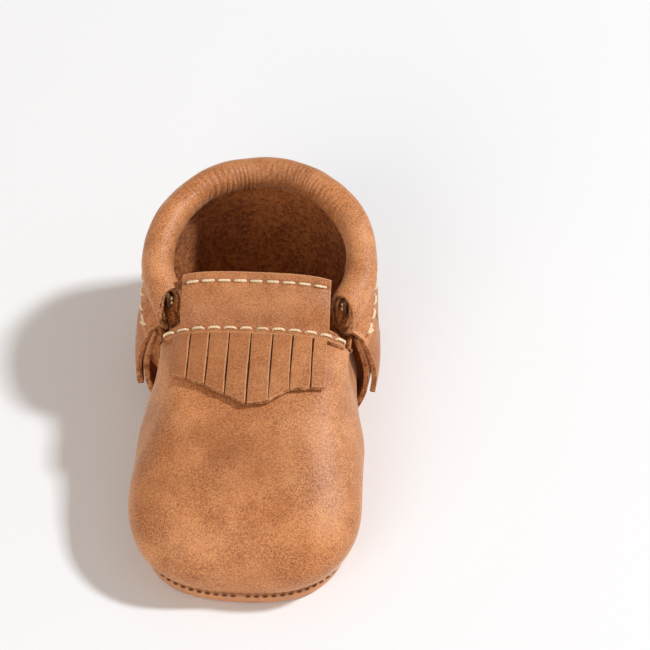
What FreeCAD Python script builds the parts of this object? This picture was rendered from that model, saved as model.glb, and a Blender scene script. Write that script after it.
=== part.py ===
import FreeCAD, Part
import math
import os
from FreeCAD import Vector

# A soft baby moccasin with a fringed tongue and a fringed heel.
# Frame: +Z up, toe towards -Y, +X to the side. The sole rests on Z = 0 and the
# origin is under the middle of the shoe. All lengths are millimetres.

SIZES = [
    ("sole_toe", -62.7, "Y of the sole's front end"),
    ("sole_ball", -36.7, "Y where the sole is widest"),
    ("sole_heel", 58.3, "Y of the sole's back end"),
    ("sole_half_width", 28.3, "half the sole's greatest width"),
    ("toe_squareness", 2.65, "superellipse exponent of the toe half"),
    ("heel_squareness", 3.1, "superellipse exponent of the heel half"),
    ("sole_thickness", 2.0, "thickness of the sole leather"),
    ("sole_lip", 3.9, "height of the sole's turned-up rim"),
    ("sole_round", 1.7, "radius under the sole's rim"),
    ("seam_height", 4.0, "Z of the seam that joins the upper to the sole"),
    ("leather", 1.6, "thickness of the upper leather"),
    ("layer_gap", 0.45, "air between a fringe strip and the leather under it"),
    ("row_front", 3.8, "Y of the fringe's stitch row at the middle"),
    ("row_height", 38.5, "Z of the vamp under that row at the middle"),
    ("row_end_height", 31.0, "Z of the vamp under that row at its ends"),
    ("row_half_width", 27.2, "half the length of that row in plan"),
    ("vamp_run", 87.0, "length of sole edge from the toe to the fringe row's end"),
    ("vamp_bulge_toe", 2.6, "outward bulge of the vamp at the tip of the toe"),
    ("vamp_bulge_corner", 6.2, "outward bulge of the vamp at the toe's corners"),
    ("vamp_bulge_side", 4.2, "outward bulge of the vamp beside the instep"),
    ("vamp_bulge_back", 3.4, "outward bulge of the vamp at its back edge"),
    ("vamp_tuck", 1.9, "how far the vamp's sides tuck inside the heel panel"),
    ("tongue_slope", 38.0, "rise of the tongue from the level, degrees"),
    ("tongue_length", 15.8, "tongue from its fold to its top edge"),
    ("tongue_half_width", 21.2, "half the tongue's width"),
    ("tongue_row", 13.3, "distance from the fold to the tongue's stitch row"),
    ("channel_rise", 1.5, "rise of the facing over the elastic"),
    ("collar_y", 27.3, "Y of the collar's centre in plan"),
    ("collar_half_width", 29.5, "half-width of the collar's centre line"),
    ("collar_half_length", 31.4, "half-length of the collar's centre line"),
    ("collar_radius", 4.5, "outer radius of the rolled collar"),
    ("collar_leather", 1.4, "thickness of the leather rolled into the collar"),
    ("collar_pinch", 1.5, "how far the collar's front ends draw in"),
    ("collar_swell", 0.5, "extra radius of the collar at its front ends"),
    ("collar_front_height", 38.0, "Z of the collar's centre at its front ends"),
    ("collar_back_height", 48.3, "Z of the collar's centre at the heel"),
    ("collar_end_angle", 28.7, "how far the collar wraps past its widest point, degrees"),
    ("elastic_width", 5.0, "width of the elastic"),
    ("elastic_thickness", 1.0, "thickness of the elastic"),
    ("heel_bulge", 2.7, "outward bulge of the heel panel"),
    ("wing_bulge", 1.5, "extra bulge of the heel panel near its front edges"),
    ("wing_flare", 4.2, "how far the heel panel's front corners stand away sideways"),
    ("panel_out", 2.4, "heel panel's top edge outward of the collar's centre"),
    ("panel_drop", 4.7, "heel panel's top edge below the collar's centre"),
    ("wing_drop", 0.6, "extra drop of the panel's top edge at its front corners"),
    ("heel_strips", 14, "number of strips in the heel fringe"),
    ("heel_strip_length", 17.0, "length of the front heel strips"),
    ("heel_strip_extra", 5.0, "extra length of the strips at the back"),
    ("slit", 0.5, "width of a slit between two fringe strips"),
    ("thread_radius", 0.42, "radius of the sewing thread"),
    ("stitch_pitch", 4.6, "distance from one stitch to the next"),
    ("stitch_length", 3.7, "length of thread that shows in one stitch"),
    ("sole_stitch_pitch", 2.4, "distance from one sole stitch to the next"),
    ("sole_stitch_length", 1.5, "length of a sole stitch"),
    ("sole_thread_radius", 0.3, "radius of the sole's thread"),
]

# The slits of the front fringe, as X at the row, and the fringe's lower edge as
# (X, length) corners: an uneven V with its tip left of the middle.
FRONT_EDGES = [-22.6, -17.6, -12.4, -6.8, -0.7, 5.4, 11.0, 16.6, 20.4]
FRONT_LOWER_EDGE = [(-22.6, 13.4), (-0.7, 23.8), (5.4, 22.8), (11.0, 18.6), (20.4, 16.6)]

# Margins of the sewn bands beside their stitch rows, and what keeps a fold free.
YOKE_BEFORE_ROW = 1.3
YOKE_BEHIND_ROW = 1.4
YOKE_HALF_WIDTH = 25.8
YOKE_LIFT = 0.12
FOLD_CLEARANCE = 0.3
FACING_START = 1.4
SEWN_GAP = 0.1

# The sole's rim stands outside the upper and its hollow inside it.
RIM_OUT = 0.6
HOLLOW_IN = 1.6
THREAD_OUT = 0.62

# The arch across the instep is a flattened superellipse.
ARCH_SQUARENESS = 3.4
ARCH_FULLNESS = 0.62

# The vamp as shares of its run from the toe: where its corners and sides lie,
# how far its back wings go, and where its sides begin to tuck in.
CORNER_SHARE = 0.27
SIDE_SHARE = 0.68
WING_SHARE = 1.09
WING_SPREAD = 0.05
WING_ADVANCE = 0.9
TUCK_SHARE = 0.3
BULGE_POWER = 5
BULGE_PEAK = 0.476

# The collar rises from its front ends to the heel, and its front begins this far
# past its widest point. Its ends are cut on a slant.
COLLAR_RISE_POWER = 0.62
COLLAR_FRONT_START = 5.0
COLLAR_FRONT_LENGTH = 25.0
COLLAR_SLANT = 4.3
COLLAR_TURNS = (-44.0, 292.0)

# The heel panel's front edges, as an angle round the collar and as a share of the
# vamp's run, and the heel fringe's yoke as shares of the panel's height.
PANEL_FRONT_ANGLE = 34.0
PANEL_FRONT_SHARE = 0.985
PANEL_FOOT_OUT = 0.3
WING_LENGTH_SHARE = 0.2
BULGE_HEIGHT_POWER = 0.85
HEEL_YOKE_TOP = 1.01
HEEL_ROW_LIFT = 0.985
HEEL_YOKE_BOTTOM = 0.93
HEEL_FRINGE_ENDS = (0.004, 0.996)

doc = FreeCAD.newDocument("moccasin")
sheet = doc.addObject("Spreadsheet::Sheet", "sizes")


def fill_sheet():
    for row, (alias, value, meaning) in enumerate(SIZES, start=1):
        sheet.set(f"A{row}", alias)
        sheet.set(f"B{row}", str(value))
        sheet.set(f"C{row}", meaning)
        sheet.setAlias(f"B{row}", alias)
    doc.recompute()


def size(alias):
    return float(getattr(sheet, alias))


fill_sheet()


# ---------------------------------------------------------------- small helpers


def mix(a, b, share):
    return a + (b - a) * share


def smooth(value):
    value = min(max(value, 0.0), 1.0)
    return value * value * (3.0 - 2.0 * value)


def steps(start, end, count):
    return [mix(start, end, i / (count - 1)) for i in range(count)]


def corner_value(corners, x):
    """Height of a polyline of (x, value) corners at x."""
    for (x0, v0), (x1, v1) in zip(corners, corners[1:]):
        if x <= x1:
            return mix(v0, v1, (x - x0) / (x1 - x0))
    return corners[-1][1]


def normal_at(surface, u, v):
    step = 1e-3
    along = surface(u + step, v) - surface(u - step, v)
    across = surface(u, v + step) - surface(u, v - step)
    return along.cross(across).normalize()


def lifted(surface, u, v, height):
    return surface(u, v) + normal_at(surface, u, v) * height


def spline_face(grid):
    patch = Part.BSplineSurface()
    patch.interpolate(grid)
    return patch.toShape()


def sheet_solid(surface, us, vs, low, high):
    """A closed sheet of leather between two offsets of a surface.

    low and high are distances along the surface's normal, or functions of v.
    """
    low_of = low if callable(low) else lambda v: low
    high_of = high if callable(high) else lambda v: high
    bottom = spline_face([[lifted(surface, u, v, low_of(v)) for v in vs] for u in us])
    top = spline_face([[lifted(surface, u, v, high_of(v)) for v in vs] for u in us])
    faces = [bottom, top]
    for below, above in zip(bottom.Edges, top.Edges):
        faces.append(Part.makeRuledSurface(below, above))
    shell = Part.Shell(faces)
    shell.sewShape()
    solid = Part.Solid(shell)
    if solid.Volume < 0:
        solid.reverse()
    return solid


def add_feature(name, shape):
    feature = doc.addObject("Part::Feature", name)
    feature.Label = name
    feature.Shape = shape


# ---------------------------------------------------------------- sole outline


def sole_outline_point(angle, grow):
    """Half outline in plan: angle 0 at the toe, pi at the heel, grown outward."""
    half_width = size("sole_half_width") + grow
    toe_part = angle < math.pi / 2
    end = size("sole_toe") if toe_part else size("sole_heel")
    power = size("toe_squareness") if toe_part else size("heel_squareness")
    reach = abs(end - size("sole_ball")) + grow
    across = abs(math.sin(angle)) ** (2.0 / power)
    along = abs(math.cos(angle)) ** (2.0 / power)
    direction = -1.0 if toe_part else 1.0
    return Vector(half_width * across, size("sole_ball") + direction * reach * along, 0)


def outline_table():
    samples = 1200
    points = [sole_outline_point(math.pi * i / samples, 0.0) for i in range(samples + 1)]
    runs = [0.0]
    for a, b in zip(points, points[1:]):
        runs.append(runs[-1] + (b - a).Length)
    return points, runs


OUTLINE, OUTLINE_RUNS = outline_table()
HALF_OUTLINE = OUTLINE_RUNS[-1]


def edge_point(run):
    """Point of the sole's edge at a distance from the toe, right side positive."""
    wrapped = abs(run)
    side = 1.0 if run >= 0 else -1.0
    if wrapped > HALF_OUTLINE:
        wrapped = 2 * HALF_OUTLINE - wrapped
        side = -side
    low, high = 0, len(OUTLINE_RUNS) - 1
    while high - low > 1:
        middle = (low + high) // 2
        if OUTLINE_RUNS[middle] <= wrapped:
            low = middle
        else:
            high = middle
    share = (wrapped - OUTLINE_RUNS[low]) / (OUTLINE_RUNS[high] - OUTLINE_RUNS[low])
    point = OUTLINE[low] + (OUTLINE[high] - OUTLINE[low]) * share
    return Vector(side * point.x, point.y, 0)


def edge_normal(run):
    ahead = edge_point(run + 0.8) - edge_point(run - 0.8)
    return Vector(ahead.y, -ahead.x, 0).normalize()


def outline_wire(grow, count=36):
    runs = [2 * HALF_OUTLINE * i / count for i in range(count)]
    points = [edge_point(run) + edge_normal(run) * grow for run in runs]
    curve = Part.BSplineCurve()
    curve.interpolate(Points=points, PeriodicFlag=True)
    return curve


# ---------------------------------------------------------------- upper surfaces


def row_arch(x):
    """Z of the leather across the instep at the fringe's stitch row."""
    reach = min(abs(x) / size("row_half_width"), 1.0)
    crown = (1.0 - reach ** ARCH_SQUARENESS) ** ARCH_FULLNESS
    return mix(size("row_end_height"), size("row_height"), crown)


def vamp_top(q):
    """Top edge of the vamp: q is -1 and 1 at the ends of the fringe row."""
    inside = min(abs(q), 1.0)
    side = math.copysign(1.0, q)
    beyond = max(abs(q) - 1.0, 0.0) * size("vamp_run")
    x = size("row_half_width") * math.sin(inside * math.pi / 2)
    y = size("row_front") + WING_ADVANCE * beyond
    return Vector(side * (x + WING_SPREAD * beyond), y, row_arch(x))


def vamp_bulge(q):
    share = min(abs(q), 1.0)
    to_corner = smooth(share / CORNER_SHARE)
    to_side = smooth((share - CORNER_SHARE) / (SIDE_SHARE - CORNER_SHARE))
    to_back = smooth((share - SIDE_SHARE) / (1.0 - SIDE_SHARE))
    corner = mix(size("vamp_bulge_toe"), size("vamp_bulge_corner"), to_corner)
    side = mix(corner, size("vamp_bulge_side"), to_side)
    return mix(side, size("vamp_bulge_back"), to_back)


def layer_inset(run):
    """The vamp's sides tuck inside the heel panel at the back."""
    tucked = (abs(run) / size("vamp_run") - SIDE_SHARE) / TUCK_SHARE
    return size("vamp_tuck") * smooth(tucked)


def vamp_surface(q, lift):
    """Outer face of the vamp: lift 0 at the sole seam, 1 at the fringe row."""
    run = q * size("vamp_run")
    outward = edge_normal(run)
    foot = edge_point(run) - outward * layer_inset(run)
    top = vamp_top(q)
    turn = lift * math.pi / 2
    reach = 1.0 - math.cos(turn)
    swell = math.sin(2 * turn) * math.cos(turn) ** BULGE_POWER / BULGE_PEAK
    bulge = vamp_bulge(q) * swell
    point = foot + (Vector(top.x, top.y, 0) - foot) * reach + outward * bulge
    point.z = mix(size("seam_height"), top.z, math.sin(turn))
    return point


def vamp_under(x, y):
    """(q, lift) of the vamp's outer face at a plan position, by Newton steps."""
    q = math.asin(max(min(x / size("row_half_width"), 0.98), -0.98)) * 2 / math.pi
    lift = 0.85
    step = 1e-4
    for _ in range(30):
        here = vamp_surface(q, lift)
        by_q = (vamp_surface(q + step, lift) - here) * (1 / step)
        by_lift = (vamp_surface(q, lift + step) - here) * (1 / step)
        det = by_q.x * by_lift.y - by_lift.x * by_q.y
        dx, dy = x - here.x, y - here.y
        q += 0.8 * (dx * by_lift.y - dy * by_lift.x) / det
        lift += 0.8 * (dy * by_q.x - dx * by_q.y) / det
    return q, lift


def instep_surface(x, y):
    """The vamp's outer face as a height over the plan, in front of the row."""
    if y >= size("row_front") - 0.5:
        return Vector(x, y, row_arch(x))
    q, lift = vamp_under(x, y)
    return Vector(x, y, vamp_surface(q, lift).z)


def tongue_surface(x, distance):
    slope = math.radians(size("tongue_slope"))
    fold_y = size("row_front") + YOKE_BEHIND_ROW + FOLD_CLEARANCE
    y = fold_y + distance * math.cos(slope)
    return Vector(x, y, row_arch(x) + distance * math.sin(slope))


def collar_frame(angle):
    """Centre of the collar roll, its outward direction in plan, nearness to the front."""
    across = size("collar_half_width")
    along = size("collar_half_length")
    past_widest = -min(angle, 180.0 - angle)
    front = smooth((past_widest - COLLAR_FRONT_START) / COLLAR_FRONT_LENGTH)
    turn = math.radians(angle)
    x = across * math.cos(turn)
    x -= math.copysign(size("collar_pinch"), x) * front
    y = size("collar_y") + along * math.sin(turn)
    front_y = size("collar_y") - along * math.sin(math.radians(size("collar_end_angle")))
    back_y = size("collar_y") + along
    share = min(max((y - front_y) / (back_y - front_y), -0.02), 1.0)
    rise = math.copysign(abs(share) ** COLLAR_RISE_POWER, share)
    z = mix(size("collar_front_height"), size("collar_back_height"), rise)
    outward = Vector(math.cos(turn) / across, math.sin(turn) / along, 0).normalize()
    return Vector(x, y, z), outward, front


def collar_surface(share, turn):
    """Outer face of the roll: share 0 and 1 at its slanted front ends."""
    slant = size("collar_end_angle") + COLLAR_SLANT * math.cos(math.radians(turn + 45.0))
    angle = mix(-slant, 180.0 + slant, share)
    centre, outward, front = collar_frame(angle)
    radius = size("collar_radius") + size("collar_swell") * front
    across = outward * math.cos(math.radians(turn))
    up = Vector(0, 0, 1) * math.sin(math.radians(turn))
    return centre + (across + up) * radius


def elastic_surface(share, height):
    """Middle of the elastic, which ends a little inside the collar's mouths."""
    reach = size("collar_end_angle") - 2.5
    centre = collar_frame(mix(-reach, 180.0 + reach, share))[0]
    return centre + Vector(0, 0, height)


def panel_top(angle):
    centre, outward, front = collar_frame(angle)
    point = centre + outward * size("panel_out")
    point.x += math.copysign(size("wing_flare"), point.x) * front
    point.z -= size("panel_drop") + size("wing_drop") * front
    return point


def panel_surface(share, lift):
    """Outer face of the heel panel: share runs from right front to left front."""
    angle = mix(-PANEL_FRONT_ANGLE, 180.0 + PANEL_FRONT_ANGLE, share)
    front_run = PANEL_FRONT_SHARE * size("vamp_run")
    run = mix(front_run, 2 * HALF_OUTLINE - front_run, share)
    outward = edge_normal(run)
    foot = edge_point(run) + outward * PANEL_FOOT_OUT
    top = panel_top(angle)
    nearness = smooth(1.0 - min(share, 1.0 - share) / WING_LENGTH_SHARE)
    waist = min(max(lift, 0.0), 1.0) ** BULGE_HEIGHT_POWER
    greatest = size("heel_bulge") + size("wing_bulge") * nearness
    bulge = greatest * math.sin(math.pi * waist)
    point = foot + (Vector(top.x, top.y, 0) - foot) * lift + outward * bulge
    point.z = mix(size("seam_height"), top.z, lift)
    return point


# ---------------------------------------------------------------- sole


def bind(feature, prop, expression):
    feature.setExpression(prop, expression)


def add_outline_sketch(body, name, grow, height_alias=None):
    sketch = body.newObject("Sketcher::SketchObject", name)
    planes = [f for f in body.Origin.OriginFeatures if f.Role == "XY_Plane"]
    sketch.AttachmentSupport = [(planes[0], "")]
    sketch.MapMode = "FlatFace"
    if height_alias:
        bind(sketch, "AttachmentOffset.Base.z", f"sizes.{height_alias}")
    sketch.addGeometry(outline_wire(grow), False)
    return sketch


def add_outsole():
    """A leather sole whose rim is turned up to meet the upper at the seam."""
    body = doc.addObject("PartDesign::Body", "outsole")
    body.Label = "outsole"
    outline = add_outline_sketch(body, "sole_outline", RIM_OUT)
    slab = body.newObject("PartDesign::Pad", "sole_slab")
    slab.Profile = outline
    bind(slab, "Length", "sizes.sole_lip")
    doc.recompute()
    lower_edges = [
        f"Edge{i + 1}" for i, edge in enumerate(slab.Shape.Edges)
        if edge.BoundBox.ZMax < 0.1
    ]
    rounded = body.newObject("PartDesign::Fillet", "sole_rim_round")
    rounded.Base = (slab, lower_edges)
    bind(rounded, "Radius", "sizes.sole_round")
    doc.recompute()
    hollow_outline = add_outline_sketch(body, "sole_hollow_outline", -HOLLOW_IN, "sole_lip")
    hollow = body.newObject("PartDesign::Pocket", "sole_hollow")
    hollow.Profile = hollow_outline
    bind(hollow, "Length", "sizes.sole_lip - sizes.sole_thickness")
    doc.recompute()


# ---------------------------------------------------------------- leather pieces


def add_vamp():
    qs = steps(-WING_SHARE, WING_SHARE, 25)
    lifts = steps(0.0, 1.0, 11)
    add_feature("vamp", sheet_solid(vamp_surface, qs, lifts, -size("leather"), 0.0))


def add_heel_panel():
    shares = steps(0.0, 1.0, 37)
    lifts = steps(0.0, 1.0, 9)
    add_feature("heel_panel", sheet_solid(panel_surface, shares, lifts, -size("leather"), 0.0))


def add_collar():
    """The heel panel's top margin, rolled inward over the elastic."""
    shares = steps(0.0, 1.0, 23)
    turns = steps(*COLLAR_TURNS, 19)
    roll = sheet_solid(collar_surface, shares, turns, -size("collar_leather"), 0.0)
    add_feature("heel_collar", roll)


def add_collar_elastic():
    shares = steps(0.0, 1.0, 21)
    half = size("elastic_width") / 2
    thick = size("elastic_thickness") / 2
    band = sheet_solid(elastic_surface, shares, [-half, 0.0, half], -thick, thick)
    add_feature("collar_elastic", band)


def add_tongue():
    """The tongue: the vamp's own tab, the elastic on it and the facing over both."""
    half = size("tongue_half_width")
    xs = steps(-half, half, 9)
    leather = size("leather")
    length = size("tongue_length")
    rise = size("channel_rise")
    under = steps(0.7, length, 7)
    add_feature("tongue_tab", sheet_solid(tongue_surface, xs, under, -leather, 0.0))
    channel = steps(3.0, 9.0, 4)
    elastic_top = SEWN_GAP + 0.8 * size("elastic_thickness")
    add_feature(
        "tongue_elastic", sheet_solid(tongue_surface, xs, channel, SEWN_GAP, elastic_top)
    )

    def puff(distance):
        share = min(distance / size("tongue_row"), 1.0)
        return SEWN_GAP + rise * math.sin(math.pi * share)

    facing = steps(FACING_START, length, 11)
    add_feature(
        "tongue_facing",
        sheet_solid(tongue_surface, xs, facing, puff, lambda d: puff(d) + leather),
    )


def add_front_yoke():
    """The sewn-down band of the fringe piece, under its stitch row."""
    xs = steps(-YOKE_HALF_WIDTH, YOKE_HALF_WIDTH, 15)
    row = size("row_front")
    ys = steps(row - YOKE_BEFORE_ROW, row + YOKE_BEHIND_ROW, 3)

    def band(x, y):
        return Vector(x, y, row_arch(x))

    top = YOKE_LIFT + size("leather")
    add_feature("fringe_yoke", sheet_solid(band, xs, ys, YOKE_LIFT, top))


def front_root_y():
    return size("row_front") - YOKE_BEFORE_ROW - FOLD_CLEARANCE


def add_front_strip(index, left, right):
    """One strip of the front fringe, lying on the vamp."""
    gap = size("layer_gap")
    half_slit = size("slit") / 2
    root = front_root_y()

    def strip(share, x):
        return instep_surface(x, root - share * corner_value(FRONT_LOWER_EDGE, x))

    shares = steps(0.0, 1.0, 6)
    xs = steps(left + half_slit, right - half_slit, 3)
    name = f"front_fringe_strip_{index}"
    add_feature(name, sheet_solid(strip, shares, xs, gap, gap + size("leather")))


def add_front_fringe():
    for index, (left, right) in enumerate(zip(FRONT_EDGES, FRONT_EDGES[1:]), start=1):
        add_front_strip(index, left, right)


def add_heel_yoke():
    """The sewn-down band of the heel fringe, under the collar's stitch row."""
    shares = steps(*HEEL_FRINGE_ENDS, 37)
    lifts = steps(HEEL_YOKE_BOTTOM, HEEL_YOKE_TOP, 3)
    top = SEWN_GAP + size("leather")
    add_feature("heel_fringe_yoke", sheet_solid(panel_surface, shares, lifts, SEWN_GAP, top))


def heel_row_shares():
    """Shares along the heel row where the strips begin and end, evenly spaced."""
    samples = steps(*HEEL_FRINGE_ENDS, 400)
    points = [panel_surface(s, HEEL_YOKE_BOTTOM) for s in samples]
    runs = [0.0]
    for a, b in zip(points, points[1:]):
        runs.append(runs[-1] + (b - a).Length)
    count = int(size("heel_strips"))
    spacing = runs[-1] / count
    half_slit = size("slit") / 2

    def share_at(run):
        for i in range(1, len(runs)):
            if runs[i] >= run:
                part = (run - runs[i - 1]) / (runs[i] - runs[i - 1])
                return mix(samples[i - 1], samples[i], part)
        return samples[-1]

    ranges = []
    for k in range(count):
        start = share_at(k * spacing + half_slit)
        end = share_at((k + 1) * spacing - half_slit)
        ranges.append((start, end))
    return ranges


def heel_root_lift(share):
    height = panel_surface(share, 1.0).z - size("seam_height")
    return HEEL_YOKE_BOTTOM - FOLD_CLEARANCE / height


def add_heel_strip(index, start, end):
    """One strip of the heel fringe, hanging over the heel panel."""
    gap = size("layer_gap")

    def strip(share, up):
        backness = math.sin(math.pi * share)
        length = size("heel_strip_length") + size("heel_strip_extra") * backness
        height = panel_surface(share, 1.0).z - size("seam_height")
        return panel_surface(share, heel_root_lift(share) - (1.0 - up) * length / height)

    shares = steps(start, end, 4)
    ups = steps(0.0, 1.0, 6)
    name = f"heel_fringe_strip_{index}"
    add_feature(name, sheet_solid(strip, shares, ups, gap, gap + size("leather")))


def add_heel_fringe():
    for index, (start, end) in enumerate(heel_row_shares(), start=1):
        add_heel_strip(index, start, end)


# ---------------------------------------------------------------- stitching


def add_thread_group(name, pieces, radius_alias):
    """Bars of thread between pairs of points, kept as one group of solids."""
    bars = []
    for index, (start, end) in enumerate(pieces, start=1):
        bar = doc.addObject("Part::Cylinder", f"{name}_{index}")
        bind(bar, "Radius", f"sizes.{radius_alias}")
        bar.Height = (end - start).Length
        turn = FreeCAD.Rotation(Vector(0, 0, 1), end - start)
        bar.Placement = FreeCAD.Placement(start, turn)
        bars.append(bar)
    group = doc.addObject("Part::Compound", name)
    group.Label = name
    group.Links = bars


def stitches_along(curve, start, end, pitch, length):
    """Pairs of points on a curve, one pair for each stitch."""
    samples = steps(start, end, 800)
    points = [curve(s) for s in samples]
    runs = [0.0]
    for a, b in zip(points, points[1:]):
        runs.append(runs[-1] + (b - a).Length)
    count = int(runs[-1] / pitch)
    margin = (runs[-1] - count * pitch + pitch - length) / 2
    wanted = []
    for k in range(count):
        wanted.append((margin + k * pitch, margin + k * pitch + length))
    pairs = []
    cursor = 0
    for first, last in wanted:
        while runs[cursor] < first:
            cursor += 1
        begin = points[cursor]
        while cursor < len(runs) - 1 and runs[cursor] < last:
            cursor += 1
        pairs.append((begin, points[cursor]))
    return pairs


def add_front_stitching():
    height = YOKE_LIFT + size("leather") + size("thread_radius")

    def row(x):
        slope = (row_arch(x + 0.01) - row_arch(x - 0.01)) / 0.02
        up = Vector(-slope, 0, 1).normalize()
        return Vector(x, size("row_front"), row_arch(x)) + up * height

    half = YOKE_HALF_WIDTH - 0.2
    pairs = stitches_along(row, -half, half, size("stitch_pitch"), size("stitch_length"))
    add_thread_group("fringe_row_stitching", pairs, "thread_radius")


def add_tongue_stitching():
    height = SEWN_GAP + size("leather") + size("thread_radius")

    def row(x):
        return lifted(tongue_surface, x, size("tongue_row"), height)

    half = size("tongue_half_width") - 0.6
    pairs = stitches_along(row, -half, half, size("stitch_pitch"), size("stitch_length"))
    add_thread_group("tongue_row_stitching", pairs, "thread_radius")


def add_collar_stitching():
    height = SEWN_GAP + size("leather") + size("thread_radius")

    def row(share):
        return lifted(panel_surface, share, HEEL_ROW_LIFT, height)

    pairs = stitches_along(row, 0.01, 0.99, size("stitch_pitch"), size("stitch_length"))
    add_thread_group("collar_row_stitching", pairs, "thread_radius")


def add_sole_stitching():
    """The thread lies in the corner between the upper and the sole's rim."""

    def row(run):
        point = edge_point(run) + edge_normal(run) * THREAD_OUT
        point.z = size("sole_lip") + size("sole_thread_radius")
        return point

    pairs = stitches_along(
        row, 0.0, 2 * HALF_OUTLINE, size("sole_stitch_pitch"), size("sole_stitch_length")
    )
    add_thread_group("sole_stitching", pairs, "sole_thread_radius")


def add_elastic_tacks():
    """Two short thread bars at each mouth of the collar that hold the elastic."""
    pairs = []
    reach = size("collar_end_angle") - 3.2
    out = size("elastic_thickness") / 2 + size("thread_radius")
    for angle in (-reach, 180.0 + reach):
        centre, outward, _ = collar_frame(angle)
        for height in (-1.2, 0.6):
            base = centre - outward * out + Vector(0, 0, height)
            pairs.append((base, base + Vector(0, 0, 1.3)))
    add_thread_group("elastic_tacks", pairs, "thread_radius")


# ---------------------------------------------------------------- build and save


def build():
    add_outsole()
    add_vamp()
    add_heel_panel()
    add_collar()
    add_collar_elastic()
    add_tongue()
    add_front_yoke()
    add_front_fringe()
    add_heel_yoke()
    add_heel_fringe()
    add_front_stitching()
    add_tongue_stitching()
    add_collar_stitching()
    add_sole_stitching()
    add_elastic_tacks()
    doc.recompute()


def is_sub_part(thing):
    return thing.TypeId in ("PartDesign::Body", "Part::Compound", "Part::Feature")


def check_and_export():
    for thing in doc.Objects:
        if "Invalid" in thing.State or "Error" in thing.State:
            raise RuntimeError(f"{thing.Name} failed: {thing.State}")
    os.makedirs("parts", exist_ok=True)
    for thing in filter(is_sub_part, doc.Objects):
        if thing.Shape.isNull() or not thing.Shape.isValid():
            raise RuntimeError(f"{thing.Label} has no valid shape")
        thing.Shape.exportStep(f"parts/{thing.Label}.step")


build()
check_and_export()
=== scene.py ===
"""A soft baby moccasin with a fringed tongue and a fringed heel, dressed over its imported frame."""

import math

import bpy
import numpy as np
from bpy.props import FloatProperty, FloatVectorProperty, IntProperty, PointerProperty
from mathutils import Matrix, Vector


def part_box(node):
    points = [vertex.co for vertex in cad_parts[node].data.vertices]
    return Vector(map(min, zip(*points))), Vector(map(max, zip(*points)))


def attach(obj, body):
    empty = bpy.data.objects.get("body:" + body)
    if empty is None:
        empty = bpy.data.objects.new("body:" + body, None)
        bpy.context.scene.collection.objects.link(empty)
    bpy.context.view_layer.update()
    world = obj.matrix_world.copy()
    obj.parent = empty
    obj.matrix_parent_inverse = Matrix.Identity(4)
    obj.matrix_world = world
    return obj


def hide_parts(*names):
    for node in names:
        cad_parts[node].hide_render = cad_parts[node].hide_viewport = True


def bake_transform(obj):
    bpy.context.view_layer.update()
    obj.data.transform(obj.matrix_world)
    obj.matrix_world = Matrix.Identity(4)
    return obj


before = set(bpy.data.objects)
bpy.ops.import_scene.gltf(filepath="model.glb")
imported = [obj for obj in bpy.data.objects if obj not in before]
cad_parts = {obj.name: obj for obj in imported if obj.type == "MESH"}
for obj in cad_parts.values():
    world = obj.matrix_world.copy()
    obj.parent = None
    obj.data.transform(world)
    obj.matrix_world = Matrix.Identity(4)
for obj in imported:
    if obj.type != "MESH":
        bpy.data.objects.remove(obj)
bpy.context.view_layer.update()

bl_info = {
    "name": "Fringed baby moccasin",
    "version": (1, 0, 0),
    "blender": (4, 5, 0),
    "location": "3D View > Sidebar > Moccasin",
    "description": "Makes the leather, the stitching and the stage of a fringed baby moccasin",
    "category": "Object",
}

MM = 0.001

# ------------------------------------------------------------ sizes that the frame fixes

SOLE_LOW, SOLE_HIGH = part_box("outsole")
YOKE_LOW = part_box("fringe_yoke")[0]
TAB_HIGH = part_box("tongue_tab")[1]

LIP_OUT = 0.6 * MM
SOLE_TOE = SOLE_LOW.y + LIP_OUT
SOLE_HEEL = SOLE_HIGH.y - LIP_OUT
SOLE_HALF_WIDTH = SOLE_HIGH.x - LIP_OUT
SOLE_BALL = -36.7 * MM
TOE_SQUARENESS = 2.65
HEEL_SQUARENESS = 3.1
SOLE_LIP = SOLE_HIGH.z
SOLE_THICKNESS = 2.0 * MM
SEAM_HEIGHT = 4.0 * MM
LEATHER = 1.6 * MM
LAYER_GAP = 0.45 * MM

YOKE_BEFORE_ROW = 1.3 * MM
YOKE_BEHIND_ROW = 1.4 * MM
FOLD_CLEARANCE = 0.3 * MM
SEWN_GAP = 0.1 * MM
ROW_FRONT = YOKE_LOW.y + YOKE_BEFORE_ROW
FOLD_Y = ROW_FRONT + YOKE_BEHIND_ROW + FOLD_CLEARANCE
ROOT_Y = ROW_FRONT - YOKE_BEFORE_ROW - FOLD_CLEARANCE
YOKE_OUT = 0.12 * MM + LEATHER
SEWN_OUT = SEWN_GAP + LEATHER
YOKE_HALF_WIDTH = 25.8 * MM
ROW_HEIGHT = 38.5 * MM
ROW_END_HEIGHT = 31.0 * MM
ROW_HALF_WIDTH = 27.2 * MM
VAMP_RUN = 87.0 * MM
PANEL_FRONT_RUN = 0.985 * VAMP_RUN
VAMP_BULGES = (2.6 * MM, 6.2 * MM, 4.2 * MM, 3.4 * MM)
BULGE_PEAK = 0.476

TONGUE_SLOPE = math.radians(38.0)
TONGUE_LENGTH = 15.8 * MM
TONGUE_HALF_WIDTH = TAB_HIGH.x
TONGUE_ROW = 13.3 * MM
CHANNEL_RISE = 1.5 * MM

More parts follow.
